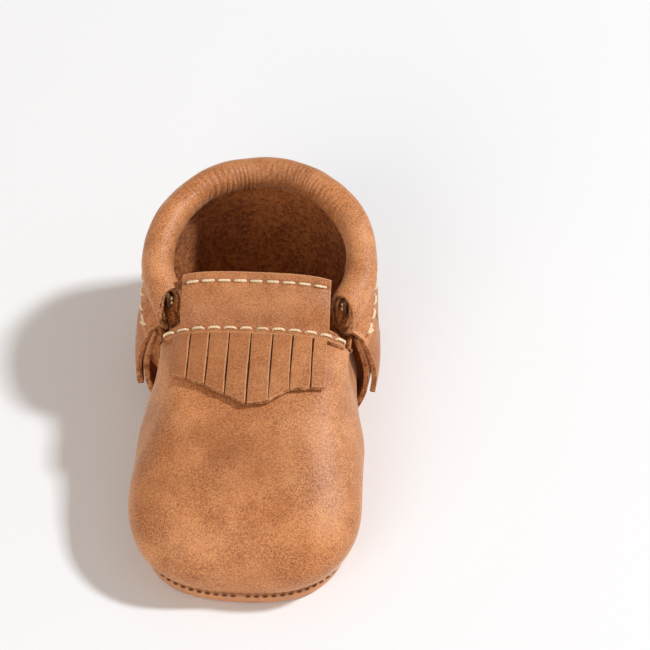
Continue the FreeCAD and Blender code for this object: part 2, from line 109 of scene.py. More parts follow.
COLLAR_Y = 27.3 * MM
COLLAR_HALF_WIDTH = 29.5 * MM
COLLAR_HALF_LENGTH = 31.4 * MM
COLLAR_RADIUS = 4.5 * MM
COLLAR_LEATHER = 1.4 * MM
COLLAR_FRONT_HEIGHT = 38.0 * MM
COLLAR_BACK_HEIGHT = 48.3 * MM
COLLAR_END_ANGLE = 28.7
COLLAR_MEETING = math.radians(-22.0)
COLLAR_RUN = 190.0 * MM
PANEL_FRONT_ANGLE = 34.0
PANEL_DROP = 4.7 * MM
PANEL_OUT = 2.4 * MM
HEEL_BULGE = 2.7 * MM
HEEL_YOKE_CORNER = 1.03
HEEL_YOKE_SHOULDER = 0.975
HEEL_YOKE_BOTTOM = 0.93
HEEL_YOKE_EDGE = 0.918
HEEL_ROW_AT = 0.22
HEEL_STRIPS = 14
HEEL_STRIP_LENGTH = 17.0 * MM
HEEL_STRIP_EXTRA = 5.0 * MM
STRIP_SETTLE = 3.0 * MM
STRIP_SWAY = 5.0 * MM
FRONT_STRIP_SEED = 400
HEEL_STRIP_SEED = 700

FRONT_EDGES = [x * MM for x in (-22.6, -17.6, -12.4, -6.8, -0.7, 5.4, 11.0, 16.6, 20.4)]
LOWER_EDGE_X = [x * MM for x in (-22.6, -0.7, 5.4, 11.0, 20.4)]
LOWER_EDGE_LENGTH = [x * MM for x in (13.4, 23.8, 22.8, 18.6, 16.6)]
SLIT = 0.5 * MM


# ------------------------------------------------------------ what a user would change


def length(name, default, description):
    return FloatProperty(
        name=name, description=description, default=default, unit="LENGTH", min=0.0, precision=5
    )


def colour(name, display, description):
    """A colour given as it is displayed, kept as the linear value that shaders use."""
    linear = [((c / 255 + 0.055) / 1.055) ** 2.4 for c in display]
    return FloatVectorProperty(
        name=name, description=description, default=linear, subtype="COLOR", min=0.0, max=1.0
    )


class MoccasinShape(bpy.types.PropertyGroup):
    """How the leather lies."""

    gather: length("Gather depth", 0.42 * MM, "Depth of the wrinkles on the rolled collar")
    gather_pitch: length("Gather pitch", 2.5 * MM, "Distance from one wrinkle to the next")
    sway: length("Leather sway", 0.32 * MM, "Slow unevenness of the soft leather")
    pucker: length("Pucker", 0.26 * MM, "Rise of the leather between two stitches")
    hole: length("Needle hole", 0.34 * MM, "Depth of the dent where a thread goes in")
    curl: length("Strip curl", 0.5 * MM, "Lift of a fringe strip's free end")


class MoccasinThread(bpy.types.PropertyGroup):
    """The sewing thread and its stitches."""

    radius: length("Thread radius", 0.39 * MM, "Radius of the laid cream thread")
    pitch: length("Stitch pitch", 4.6 * MM, "Distance from one stitch to the next")
    stitch: length("Stitch length", 3.7 * MM, "Length of thread that shows in one stitch")
    plies: IntProperty(name="Plies", description="Strands laid into the thread", default=3, min=1)
    sole_radius: length("Sole thread radius", 0.3 * MM, "Radius of the brown thread of the sole")
    sole_pitch: length("Sole stitch pitch", 2.4 * MM, "Distance between two sole stitches")
    sole_stitch: length("Sole stitch length", 1.5 * MM, "Length of one sole stitch")


class MoccasinColours(bpy.types.PropertyGroup):
    """Colours of the leather, the threads and the floor."""

    grain: colour("Grain", (186, 117, 67), "Tan of the leather's grain side")
    grain_light: colour(
        "Grain, pulled", (223, 154, 101), "Where the leather is stretched or rubbed"
    )
    grain_dark: colour("Grain, deep", (136, 76, 38), "Pores, creases and darker patches")
    grain_warm: colour("Grain, warm", (206, 127, 66), "Patches where the tanning shows warmer")
    flesh: colour("Flesh side", (208, 130, 68), "The suede inside of the shoe")
    flesh_dark: colour("Flesh side, deep", (116, 56, 22), "Between the suede's fibres")
    raw: colour("Cut edge", (226, 164, 114), "The leather's cut edges")
    raw_dark: colour("Cut edge, deep", (122, 68, 34), "Between the fibres of a cut edge")
    sole: colour("Sole", (196, 142, 106), "The sole leather")
    thread: colour("Cream thread", (250, 226, 188), "The thread of the stitch rows")
    sole_thread: colour("Sole thread", (120, 74, 44), "The thread along the sole")
    elastic: colour("Elastic", (132, 84, 50), "The elastic in the collar and the tongue")
    floor: colour("Floor", (240, 241, 242), "The floor")


# ------------------------------------------------------------ numbers and points


def mix(a, b, share):
    return a + (b - a) * share


def smooth(value):
    value = np.clip(value, 0.0, 1.0)
    return value * value * (3.0 - 2.0 * value)


def place(x, y, z):
    return np.stack(np.broadcast_arrays(x, y, z), axis=-1).astype(float)


def unit(vectors):
    return vectors / np.maximum(np.linalg.norm(vectors, axis=-1, keepdims=True), 1e-12)


def grid(us, vs):
    return np.meshgrid(us, vs, indexing="ij")


def normals(points):
    along, across = np.gradient(points, axis=0), np.gradient(points, axis=1)
    return unit(np.cross(along, across))


def raised(points, height):
    height = np.broadcast_to(height, points.shape[:-1])
    return points + normals(points) * height[..., None]


def waves(points, size, seed):
    """Smooth unevenness from -1 to 1 with bumps of about that size."""
    random = np.random.default_rng(seed)
    total = np.zeros(points.shape[:-1])
    count = 9
    for _ in range(count):
        direction = unit(random.normal(size=3)) * random.uniform(0.6, 1.5) * math.tau / (2 * size)
        total += np.sin(points @ direction + random.uniform(0, math.tau))
    return total / math.sqrt(count) / 1.6


def run_lengths(points):
    steps = np.linalg.norm(np.diff(points, axis=0), axis=-1)
    return np.concatenate([[0.0], np.cumsum(steps)])


# ------------------------------------------------------------ the shoe's form


def edge_table():
    """The sole's edge from the toe round the right side to the heel, and its length so far."""
    angle = np.linspace(0.0, math.pi, 1601)
    toe = angle < math.pi / 2
    reach = np.where(toe, SOLE_BALL - SOLE_TOE, SOLE_HEEL - SOLE_BALL)
    power = 2.0 / np.where(toe, TOE_SQUARENESS, HEEL_SQUARENESS)
    x = SOLE_HALF_WIDTH * np.abs(np.sin(angle)) ** power
    y = SOLE_BALL + np.where(toe, -reach, reach) * np.abs(np.cos(angle)) ** power
    return x, y, run_lengths(place(x, y, 0.0))


EDGE_X, EDGE_Y, EDGE_RUNS = edge_table()
HALF_EDGE = EDGE_RUNS[-1]


def edge_point(run):
    """Point of the sole's edge at a distance from the toe, right side positive."""
    run = np.asarray(run, float)
    over = np.abs(run) > HALF_EDGE
    wrapped = np.where(over, 2 * HALF_EDGE - np.abs(run), np.abs(run))
    side = np.where(run >= 0, 1.0, -1.0) * np.where(over, -1.0, 1.0)
    return place(
        side * np.interp(wrapped, EDGE_RUNS, EDGE_X), np.interp(wrapped, EDGE_RUNS, EDGE_Y), 0.0
    )


def edge_out(run):
    ahead = edge_point(run + 0.8 * MM) - edge_point(run - 0.8 * MM)
    return unit(place(ahead[..., 1], -ahead[..., 0], 0.0))


def row_arch(x):
    """Height of the leather across the instep at the fringe's stitch row."""
    reach = np.minimum(np.abs(x) / ROW_HALF_WIDTH, 1.0)
    return mix(ROW_END_HEIGHT, ROW_HEIGHT, (1.0 - reach**3.4) ** 0.62)


def vamp_top(q):
    inside = np.minimum(np.abs(q), 1.0)
    beyond = np.maximum(np.abs(q) - 1.0, 0.0) * VAMP_RUN
    x = ROW_HALF_WIDTH * np.sin(inside * math.pi / 2)
    return place(
        np.where(q >= 0, 1.0, -1.0) * (x + 0.05 * beyond), ROW_FRONT + 0.9 * beyond, row_arch(x)
    )


def vamp_bulge(q):
    share = np.minimum(np.abs(q), 1.0)
    toe, corner, side, back = VAMP_BULGES
    bulge = mix(toe, corner, smooth(share / 0.27))
    bulge = mix(bulge, side, smooth((share - 0.27) / 0.41))
    return mix(bulge, back, smooth((share - 0.68) / 0.32))


def vamp_surface(q, lift):
    """Outer face of the vamp: lift 0 at the sole seam, 1 at the fringe row."""
    q, lift = np.broadcast_arrays(np.asarray(q, float), np.asarray(lift, float))
    run = q * VAMP_RUN
    outward = edge_out(run)
    inset = 1.9 * MM * smooth((np.abs(run) - 0.68 * VAMP_RUN) / (0.3 * VAMP_RUN))
    foot = edge_point(run) - outward * inset[..., None]
    top = vamp_top(q)
    turn = lift * math.pi / 2
    reach = 1.0 - np.cos(turn)
    bulge = vamp_bulge(q) * np.sin(2 * turn) * np.maximum(np.cos(turn), 0.0) ** 5 / BULGE_PEAK
    points = foot + (top - foot) * reach[..., None] + outward * bulge[..., None]
    points[..., 2] = mix(SEAM_HEIGHT, top[..., 2], np.sin(turn))
    return points


def vamp_under(x, y):
    """(q, lift) of the vamp's outer face under plan positions, by Newton steps."""
    q = np.arcsin(np.clip(x / ROW_HALF_WIDTH, -0.98, 0.98)) * 2 / math.pi
    lift = np.full_like(q, 0.85)
    step = 1e-4
    for _ in range(30):
        here = vamp_surface(q, lift)
        by_q = (vamp_surface(q + step, lift) - here) / step
        by_lift = (vamp_surface(q, lift + step) - here) / step
        det = by_q[..., 0] * by_lift[..., 1] - by_lift[..., 0] * by_q[..., 1]
        dx, dy = x - here[..., 0], y - here[..., 1]
        q = q + 0.8 * (dx * by_lift[..., 1] - dy * by_lift[..., 0]) / det
        lift = lift + 0.8 * (dy * by_q[..., 0] - dx * by_q[..., 1]) / det
    return q, lift


def instep_surface(x, y):
    """The vamp's outer face over the plan, in front of the fringe row."""
    q, lift = vamp_under(x, np.minimum(y, ROW_FRONT - 0.5 * MM))
    height = vamp_surface(q, lift)[..., 2]
    flat = smooth((y - ROOT_Y + 0.6 * MM) / (0.6 * MM))
    return place(x, y, mix(height, row_arch(x), flat))


def tongue_surface(x, distance):
    y = FOLD_Y + distance * math.cos(TONGUE_SLOPE)
    return place(x, y, row_arch(x) + distance * math.sin(TONGUE_SLOPE))


def collar_frame(angle):
    """Centre of the collar's roll, its outward direction in plan and its nearness to the front."""
    front = smooth((-5.0 - np.minimum(angle, 180.0 - angle)) / 25.0)
    turn = np.radians(angle)
    side = np.where(np.cos(turn) >= 0, 1.0, -1.0)
    x = COLLAR_HALF_WIDTH * np.cos(turn) - side * 1.5 * MM * front
    y = COLLAR_Y + COLLAR_HALF_LENGTH * np.sin(turn)
    front_y = COLLAR_Y - COLLAR_HALF_LENGTH * math.sin(math.radians(COLLAR_END_ANGLE))
    share = np.clip((y - front_y) / (COLLAR_Y + COLLAR_HALF_LENGTH - front_y), -0.02, 1.0)
    rise = np.sign(share) * np.abs(share) ** 0.62
    z = mix(COLLAR_FRONT_HEIGHT, COLLAR_BACK_HEIGHT, rise)
    outward = unit(place(np.cos(turn) / COLLAR_HALF_WIDTH, np.sin(turn) / COLLAR_HALF_LENGTH, 0.0))
    return place(x, y, z), outward, front


def collar_angle(share, turn):
    slant = COLLAR_END_ANGLE + 4.3 * np.cos(np.radians(turn + 45.0))
    return mix(-slant, 180.0 + slant, share)


def collar_surface(share, turn, extra=0.0):
    """Outer face of the roll: turn 0 looks outward, 90 up and 180 into the shoe."""
    centre, outward, front = collar_frame(collar_angle(share, turn))
    radius = COLLAR_RADIUS + 0.5 * MM * front + extra
    across = outward * np.cos(np.radians(turn))[..., None]
    up = place(0.0, 0.0, 1.0) * np.sin(np.radians(turn))[..., None]
    return centre + (across + up) * radius[..., None]


def panel_angle(share):
    return mix(-PANEL_FRONT_ANGLE, 180.0 + PANEL_FRONT_ANGLE, share)


def panel_run(share):
    """Where the heel panel's foot meets the sole seam."""
    return mix(PANEL_FRONT_RUN, 2 * HALF_EDGE - PANEL_FRONT_RUN, share)


def panel_surface(share, lift):
    """Outer face of the heel panel: share runs from the right front to the left front."""
    share, lift = np.broadcast_arrays(np.asarray(share, float), np.asarray(lift, float))
    centre, outward, front = collar_frame(panel_angle(share))
    top = centre + outward * PANEL_OUT
    top[..., 0] += np.where(top[..., 0] >= 0, 4.2, -4.2) * MM * front
    top[..., 2] -= PANEL_DROP + 0.6 * MM * front
    run = panel_run(share)
    out = edge_out(run)
    foot = edge_point(run) + out * 0.3 * MM
    nearness = smooth(1.0 - np.minimum(share, 1.0 - share) / 0.2)
    waist = np.clip(lift, 0.0, 1.0) ** 0.85
    bulge = (HEEL_BULGE + 1.5 * MM * nearness) * np.sin(math.pi * waist)
    points = foot + (top - foot) * lift[..., None] + out * bulge[..., None]
    points[..., 2] = mix(SEAM_HEIGHT, top[..., 2], lift)
    return points


def panel_height(share):
    return panel_surface(share, 1.0)[..., 2] - SEAM_HEIGHT


def heel_strip_ranges():
    """Shares of the heel row between which each strip hangs."""
    samples = np.linspace(0.004, 0.996, 400)
    runs = run_lengths(panel_surface(samples, HEEL_YOKE_BOTTOM))
    slits = np.linspace(0.0, runs[-1], HEEL_STRIPS + 1)
    starts = np.interp(slits[:-1] + SLIT / 2, runs, samples)
    ends = np.interp(slits[1:] - SLIT / 2, runs, samples)
    return list(zip(starts, ends))


# ------------------------------------------------------------ meshes


def add_mesh(name, vertices, faces, slots, finishes, attributes):
    """An object at the origin with its finishes, shaded smooth, with its point attributes."""
    mesh = bpy.data.meshes.new(name)
    mesh.from_pydata(vertices.tolist(), [], faces.tolist())
    for finish in finishes:
        mesh.materials.append(finish)
    mesh.polygons.foreach_set("material_index", slots.astype(np.int32))
    mesh.polygons.foreach_set("use_smooth", np.ones(len(faces), bool))
    for key, values in attributes.items():
        kind, field = ("FLOAT_VECTOR", "vector") if values.ndim == 2 else ("FLOAT", "value")
        mesh.attributes.new(key, kind, "POINT").data.foreach_set(
            field, values.astype(np.float32).ravel()
        )
    mesh.validate()
    mesh.update()
    thing = bpy.data.objects.new(name, mesh)
    bpy.context.scene.collection.objects.link(thing)
    return thing


def border_loop(rows, columns):
    """Grid indices once round the border, and the outward steps in the grid there."""
    i = np.concatenate([
        np.arange(rows - 1), np.full(columns - 1, rows - 1),
        np.arange(rows - 1, 0, -1), np.zeros(columns - 1, int),
    ])
    j = np.concatenate([
        np.zeros(rows - 1, int), np.arange(columns - 1),
        np.full(rows - 1, columns - 1), np.arange(columns - 1, 0, -1),
    ])
    step_i = (i == rows - 1).astype(float) - (i == 0)
    step_j = (j == columns - 1).astype(float) - (j == 0)
    return i, j, step_i, step_j


RIM_DEPTHS = (0.08, 0.28, 0.5, 0.72, 0.92)


def leather_sheet(
    name, base, height, thickness, groove_shade_and_dirt=None, rim=0.16 * MM, tone=0.0, finishes=None
):
    """A sheet of leather: a smooth face, the detail that stands on it, flesh side and cut edges."""
    rows, columns = base.shape[:2]
    up = normals(base)
    rise = np.broadcast_to(height, (rows, columns))
    depth = np.broadcast_to(thickness, (rows, columns)) + rise
    tone = np.broadcast_to(tone, (rows, columns))
    outer = base + up * rise[..., None]
    inner = outer - up * depth[..., None]
    i, j, step_i, step_j = border_loop(rows, columns)
    along, across = unit(np.gradient(outer, axis=0)), unit(np.gradient(outer, axis=1))
    out = unit(along[i, j] * step_i[:, None] + across[i, j] * step_j[:, None])
    rings = []
    for share in RIM_DEPTHS:
        ragged = 1.0 + 0.35 * waves(outer[i, j], 0.7 * MM, int(share * 100))
        bulge = rim * math.sin(math.pi * share) ** 0.6 * ragged
        rings.append(outer[i, j] - up[i, j] * (depth[i, j] * share)[:, None] + out * bulge[:, None])
    vertices = np.concatenate([outer.reshape(-1, 3), inner.reshape(-1, 3), *rings])

    index = np.arange(rows * columns).reshape(rows, columns)
    quads = np.stack(
        [index[:-1, :-1], index[1:, :-1], index[1:, 1:], index[:-1, 1:]], axis=-1
    ).reshape(-1, 4)
    count = rows * columns
    loops = [index[i, j], *[2 * count + k * len(i) + np.arange(len(i)) for k in range(len(rings))]]
    loops.append(index[i, j] + count)
    rims = [
        np.stack([b, np.roll(b, -1), np.roll(a, -1), a], axis=-1) for a, b in zip(loops, loops[1:])
    ]
    faces = np.concatenate([quads, quads[:, ::-1] + count, *rims])
    slots = np.concatenate([
        np.zeros(len(quads)), np.ones(len(quads)), np.full(sum(len(r) for r in rims), 2)
    ])

    from_start = np.concatenate([np.zeros((1, columns)), np.cumsum(
        np.linalg.norm(np.diff(outer, axis=0), axis=-1), axis=0)])
    from_side = np.concatenate([np.zeros((rows, 1)), np.cumsum(
        np.linalg.norm(np.diff(outer, axis=1), axis=-1), axis=1)], axis=1)
    nearest = np.minimum(
        np.minimum(from_start, from_start[-1:] - from_start),
        np.minimum(from_side, from_side[:, -1:] - from_side),
    )
    closeness = np.exp(-nearest / (0.9 * MM))
    dent = np.zeros((rows, columns)) if groove_shade_and_dirt is None else groove_shade_and_dirt
    rim_count = len(rings) * len(i)
    attributes = {
        "rest": vertices,
        # nearness to the edge: darker burnished edges, and a pale line at the very edge that is
        # partly a rub, partly a painted highlight
        "rubbed": np.concatenate([closeness.ravel(), closeness.ravel(), np.ones(rim_count)]),
        # painted shade with dirt: darker at the sole seam, the needle holes and the collar's valleys
        "groove_shade_and_dirt": np.concatenate([dent.ravel(), dent.ravel(), np.zeros(rim_count)]),
        # darker tone of whole pieces or parts of them, partly painted shade
        "tone_and_painted_shade": np.concatenate([tone.ravel(), tone.ravel()] + [tone[i, j]] * len(rings)),
    }
    chosen = finishes or ("tan_leather", "flesh_side", "cut_edge")
    return add_mesh(name, vertices, faces, slots, [finish_of(f) for f in chosen], attributes)


def dress(thing, body, nodes):
    """Puts a piece on its body in place of its CAD nodes."""
    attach(thing, body)
    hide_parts(*nodes)
    return thing


# ------------------------------------------------------------ shader nodes as expressions


class Socket:
    """A shader socket that takes part in arithmetic."""

    def __init__(self, paint, source):
        self.paint = paint
        self.source = source

    def maths(self, operation, first, second):
        return self.paint.node("ShaderNodeMath", {"operation": operation}, {0: first, 1: second})

    def __add__(self, other):
        return self.maths("ADD", self, other)

    def __radd__(self, other):
        return self.maths("ADD", other, self)

    def __sub__(self, other):
        return self.maths("SUBTRACT", self, other)

    def __rsub__(self, other):
        return self.maths("SUBTRACT", other, self)

    def __mul__(self, other):
        return self.maths("MULTIPLY", self, other)

    def __rmul__(self, other):
        return self.maths("MULTIPLY", other, self)

    def __pow__(self, other):
        return self.maths("POWER", self, other)


class Paint:
    """One material and the nodes that make it."""

    def __init__(self, name):
        self.material = bpy.data.materials.new(name)
        self.material.use_nodes = True
        self.tree = self.material.node_tree
        self.tree.nodes.clear()

    def node(self, kind, settings, sockets, output=0):
        """Adds a node: its settings first, then values or links for its sockets."""
        made = self.tree.nodes.new(kind)
        for key, value in settings.items():
            setattr(made, key, value)
        for key, value in sockets.items():
            if isinstance(value, Socket):
                self.tree.links.new(value.source, made.inputs[key])
            elif hasattr(value, "__len__") and made.inputs[key].type == "RGBA":
                made.inputs[key].default_value = (*value[:3], 1.0)
            else:
                made.inputs[key].default_value = value
        return None if output is None else Socket(self, made.outputs[output])

    def attribute(self, name, output):
        return self.node("ShaderNodeAttribute", {"attribute_name": name}, {}, output)

    def noise(self, where, scale, detail, roughness):
        sockets = {"Vector": where, "Scale": scale, "Detail": detail, "Roughness": roughness}
        return self.node("ShaderNodeTexNoise", {}, sockets, "Fac")

    def cells(self, where, scale, feature="F1"):
        sockets = {"Vector": where, "Scale": scale}
        return self.node("ShaderNodeTexVoronoi", {"feature": feature}, sockets, "Distance")

    def range(self, value, low, high, to_low=0.0, to_high=1.0):
        sockets = {"Value": value, 1: low, 2: high, 3: to_low, 4: to_high}
        return self.node("ShaderNodeMapRange", {"interpolation_type": "SMOOTHSTEP"}, sockets)

    def blend(self, factor, first, second):
        sockets = {0: factor, 6: first, 7: second}
        return self.node("ShaderNodeMix", {"data_type": "RGBA"}, sockets, 2)

    def bump(self, height, distance, strength):
        sockets = {"Height": height, "Distance": distance, "Strength": strength}
        return self.node("ShaderNodeBump", {}, sockets)

    def surface(self, **sockets):
        """Ends the material: keywords are the shader's sockets in lower case."""
        named = {}
        for key, value in sockets.items():
            named[key.replace("_", " ").title().replace("Ior", "IOR")] = value
        shader = self.node("ShaderNodeBsdfPrincipled", {}, named)
        self.node("ShaderNodeOutputMaterial", {"is_active_output": True}, {"Surface": shader}, None)
        return self.material


def colours():
    return bpy.context.scene.moccasin_colours


def tan_leather():
    """Oiled, softly grained leather: pebbles, pores, mottling, pale rubs with a painted highlight at
    the very edge, and dark creases of painted shade and dirt.
    """
    paint = Paint("tan_leather")
    where = paint.attribute("rest", "Vector")
    rubbed = paint.attribute("rubbed", "Fac")
    groove_shade_and_dirt = paint.attribute("groove_shade_and_dirt", "Fac")
    patches = paint.noise(where, 75.0, 4.0, 0.6)
    streaks = paint.noise(where, 170.0, 4.0, 0.62)
    speckle = paint.noise(where, 2300.0, 2.0, 0.6)
    pebbles = paint.cells(where, 2000.0, "SMOOTH_F1")
    pores = paint.cells(where, 3300.0)
    tone = paint.range(patches * 0.62 + streaks * 0.38, 0.36, 0.64)
    base = paint.blend(tone, colours().grain, colours().grain_light)
    warmth = paint.range(paint.noise(where, 48.0, 2.0, 0.5), 0.42, 0.62)
    base = paint.blend(warmth * 0.35, base, colours().grain_warm)
    depth = paint.range(pebbles, 0.3, 0.85) * 0.45 + paint.range(speckle, 0.44, 0.62) * 0.62
    base = paint.blend(depth * paint.range(patches, 0.7, 0.3, 0.6, 1.0), base, colours().grain_dark)
    base = paint.blend(paint.range(speckle, 0.5, 0.34) * 0.5, base, colours().grain_light)
    # darker tone, partly painted shade: the front strips further left, away from the key light, are
    # darkened more
    base = paint.blend(paint.attribute("tone_and_painted_shade", "Fac"), base, colours().grain_dark)
    # painted shade with dirt: grooves, needle holes and the collar's valleys darkened
    base = paint.blend(groove_shade_and_dirt * 0.75, base, colours().grain_dark)
    base = paint.blend(rubbed * paint.range(streaks, 0.4, 0.62) * 0.4, base, colours().grain_dark)
    # pale line at the very edge: partly a lighter rub, partly a painted highlight standing for the
    # lit cut face
    base = paint.blend(rubbed**7.0 * 0.75, base, colours().raw)
    height = (1.0 - pebbles) * 0.7 + speckle * 0.35 - paint.range(pores, 0.0, 0.25, 0.35, 0.0)
    return paint.surface(
        base_color=base,
        roughness=0.38 + streaks * 0.16 + speckle * 0.1,
        specular_ior_level=0.42,
        sheen_weight=0.42,
        sheen_roughness=0.4,
        sheen_tint=(1.0, 0.8, 0.6, 1.0),
        normal=paint.bump(height, 0.13 * MM, 0.7),
    )


def flesh_side():
    """The suede inside: short matted fibres."""
    paint = Paint("flesh_side")
    where = paint.attribute("rest", "Vector")
    fibres = paint.noise(where, 2400.0, 4.0, 0.75)
    clumps = paint.noise(where, 700.0, 3.0, 0.6)
    patches = paint.noise(where, 110.0, 3.0, 0.5)
    tone = paint.range(fibres * 0.5 + clumps * 0.35 + patches * 0.15, 0.38, 0.62)
    return paint.surface(
        base_color=paint.blend(tone, colours().flesh_dark, colours().flesh),
        roughness=0.92,
        specular_ior_level=0.2,
        sheen_weight=0.06,
        sheen_roughness=0.6,
        normal=paint.bump(fibres * 0.5 + clumps * 0.5, 0.35 * MM, 0.9),
    )


def cut_edge():
    """A knife-cut edge: packed fibres with paler ends."""
    paint = Paint("cut_edge")
    where = paint.attribute("rest", "Vector")
    fibres = paint.noise(where, 2000.0, 4.0, 0.7)
    clumps = paint.noise(where, 520.0, 3.0, 0.6)
    tone = paint.range(fibres * 0.6 + clumps * 0.4, 0.36, 0.64)
    return paint.surface(
        base_color=paint.blend(tone, colours().raw_dark, colours().raw),
        roughness=0.85,
        specular_ior_level=0.2,
        normal=paint.bump(fibres, 0.22 * MM, 0.9),
    )


def sole_leather():
    """Firmer leather of the sole: finer grain and scuffs."""
    paint = Paint("sole_leather")
    where = paint.attribute("rest", "Vector")
    patches = paint.noise(where, 90.0, 4.0, 0.6)
    scuffs = paint.noise(where, 420.0, 5.0, 0.7)
    fine = paint.noise(where, 1900.0, 3.0, 0.7)
    tone = paint.range(patches * 0.5 + scuffs * 0.5, 0.36, 0.66)
    base = paint.blend(tone, colours().sole, colours().grain_light)
    base = paint.blend(paint.range(fine, 0.5, 0.8) * 0.5, base, colours().grain_dark)
    return paint.surface(
        base_color=base,
        roughness=0.6 + scuffs * 0.2,
        specular_ior_level=0.3,
        normal=paint.bump(scuffs * 0.5 + fine * 0.5, 0.14 * MM, 0.7),
    )


def thread_finish(name, shade):
    """Waxed thread: fine fibres over its laid strands."""
    paint = Paint(name)
    where = paint.node("ShaderNodeTexCoord", {}, {}, "Object")
    fibres = paint.noise(where, 5200.0, 3.0, 0.6)
    patches = paint.noise(where, 420.0, 2.0, 0.5)
    soiled = tuple(c * 0.72 for c in shade[:3])
    tone = paint.range(fibres * 0.6 + patches * 0.4, 0.35, 0.6)
    return paint.surface(
        base_color=paint.blend(tone, soiled, tuple(shade[:3])),
        roughness=0.55 + fibres * 0.25,
        specular_ior_level=0.4,
        sheen_weight=0.2,
        normal=paint.bump(fibres, 0.06 * MM, 0.8),
    )


def cream_thread():
    return thread_finish("cream_thread", colours().thread)


def brown_thread():
    return thread_finish("brown_thread", colours().sole_thread)


def elastic_finish():
    """Woven elastic: ribs along its length crossed by a fine weft."""
    paint = Paint("elastic")
    where = paint.attribute("rest", "Vector")
    fibres = paint.noise(where, 3200.0, 3.0, 0.6)
    sockets = {"Vector": where, "Scale": 420.0}
    ribs = paint.node("ShaderNodeTexWave", {"bands_direction": "Z"}, sockets, "Fac")
    shade = tuple(colours().elastic[:3])
    return paint.surface(
        base_color=paint.blend(ribs * 0.6 + fibres * 0.4, tuple(c * 0.6 for c in shade), shade),
        roughness=0.8,
        normal=paint.bump(ribs * 0.7 + fibres * 0.3, 0.15 * MM, 0.8),
    )


def floor_finish():
    """Pale matt floor with the faintest mottling."""
    paint = Paint("pale_floor")
    where = paint.node("ShaderNodeTexCoord", {}, {}, "Object")
    clouds = paint.noise(where, 6.0, 3.0, 0.5)
    shade = tuple(colours().floor[:3])
    return paint.surface(
        base_color=paint.blend(clouds, tuple(c * 0.985 for c in shade), shade),
        roughness=0.9,
        specular_ior_level=0.15,
    )


FINISHES = {
    "tan_leather": tan_leather,
    "flesh_side": flesh_side,
    "cut_edge": cut_edge,
    "sole_leather": sole_leather,
    "cream_thread": cream_thread,
    "brown_thread": brown_thread,
    "elastic": elastic_finish,
    "pale_floor": floor_finish,
}


MADE_FINISHES = {}


def finish_of(name):
    """The finish of that name, made the first time it is asked for."""
    if name not in MADE_FINISHES:
        MADE_FINISHES[name] = FINISHES[name]()
    return MADE_FINISHES[name]


# ------------------------------------------------------------ rows of stitches


def row_of_stitches(points, ups, pitch, stitch):
    """Where each stitch of a row lies: its two ends and its up direction."""
    runs = run_lengths(points)
    count = int(runs[-1] / pitch)
    margin = (runs[-1] - count * pitch + pitch - stitch) / 2
    starts = margin + pitch * np.arange(count)

    def at(run, values):
        return np.stack([np.interp(run, runs, values[:, k]) for k in range(3)], axis=-1)

    return at(starts, points), at(starts + stitch, points), at(starts + stitch / 2, ups)


def front_row():
    x = np.linspace(-25.6 * MM, 25.6 * MM, 800)
    slope = np.gradient(row_arch(x), x)
    up = unit(place(-slope, 0.0, 1.0))
    return place(x, ROW_FRONT, row_arch(x)) + up * YOKE_OUT, up


def tongue_row():
    half = TONGUE_HALF_WIDTH - 0.6 * MM
    xs, ds = grid(np.linspace(-half, half, 500), TONGUE_ROW + np.array([-0.1, 0.0, 0.1]) * MM)
    surface = tongue_surface(xs, ds)
    up = normals(surface)[:, 1]
    return surface[:, 1] + up * SEWN_OUT, up


def back_stitches(starts, ends, ups):
    """One slanted stitch at each end of a row, where the thread is fastened off."""
    firsts, lasts = np.array([0, -1]), np.array([starts[0], ends[-1]])
    inward = unit(np.array([ends[0] - starts[0], starts[-1] - ends[-1]]))
    sideways = unit(np.cross(ups[firsts], inward)) * np.array([[1.0], [-1.0]])
    tips = lasts + (inward * 0.82 - sideways * 0.57) * 2.6 * MM
    return np.append(starts, lasts, 0), np.append(ends, tips, 0), np.append(ups, ups[firsts], 0)


def collar_row():
    band = heel_band(np.linspace(0.01, 0.99, 800), HEEL_ROW_AT + np.array([-0.02, 0.0, 0.02]))
    return band[:, 1], normals(band)[:, 1]


def stitch_marks(runs_along, runs_across, row_across, pitch, stitch, total):
    """Dents at the needle holes and rises between them, for a sheet under a stitch row, and the
    painted shade with dirt that darkens the holes.
    """
    shape = bpy.context.scene.moccasin_shape
    count = int(total / pitch)
    margin = (total - count * pitch + pitch - stitch) / 2
    phase = (runs_along - margin) / pitch
    start_gap = (phase - np.round(phase)) * pitch
    end_phase = (runs_along - margin - stitch) / pitch
    end_gap = (end_phase - np.round(end_phase)) * pitch
    from_row = runs_across - row_across
    near = np.exp(-((from_row / (0.55 * MM)) ** 2))
    holes = np.exp(-((start_gap / (0.42 * MM)) ** 2)) + np.exp(-((end_gap / (0.42 * MM)) ** 2))
    along = np.sin(math.pi * np.clip((phase - np.floor(phase)) * pitch / stitch, 0.0, 1.0))
    beside = np.exp(-((from_row / (1.5 * MM)) ** 2))
    rise = shape.pucker * (beside - 1.25 * near) * along
    return rise - shape.hole * near * np.clip(holes, 0, 1.3), np.clip(near * holes, 0, 1)


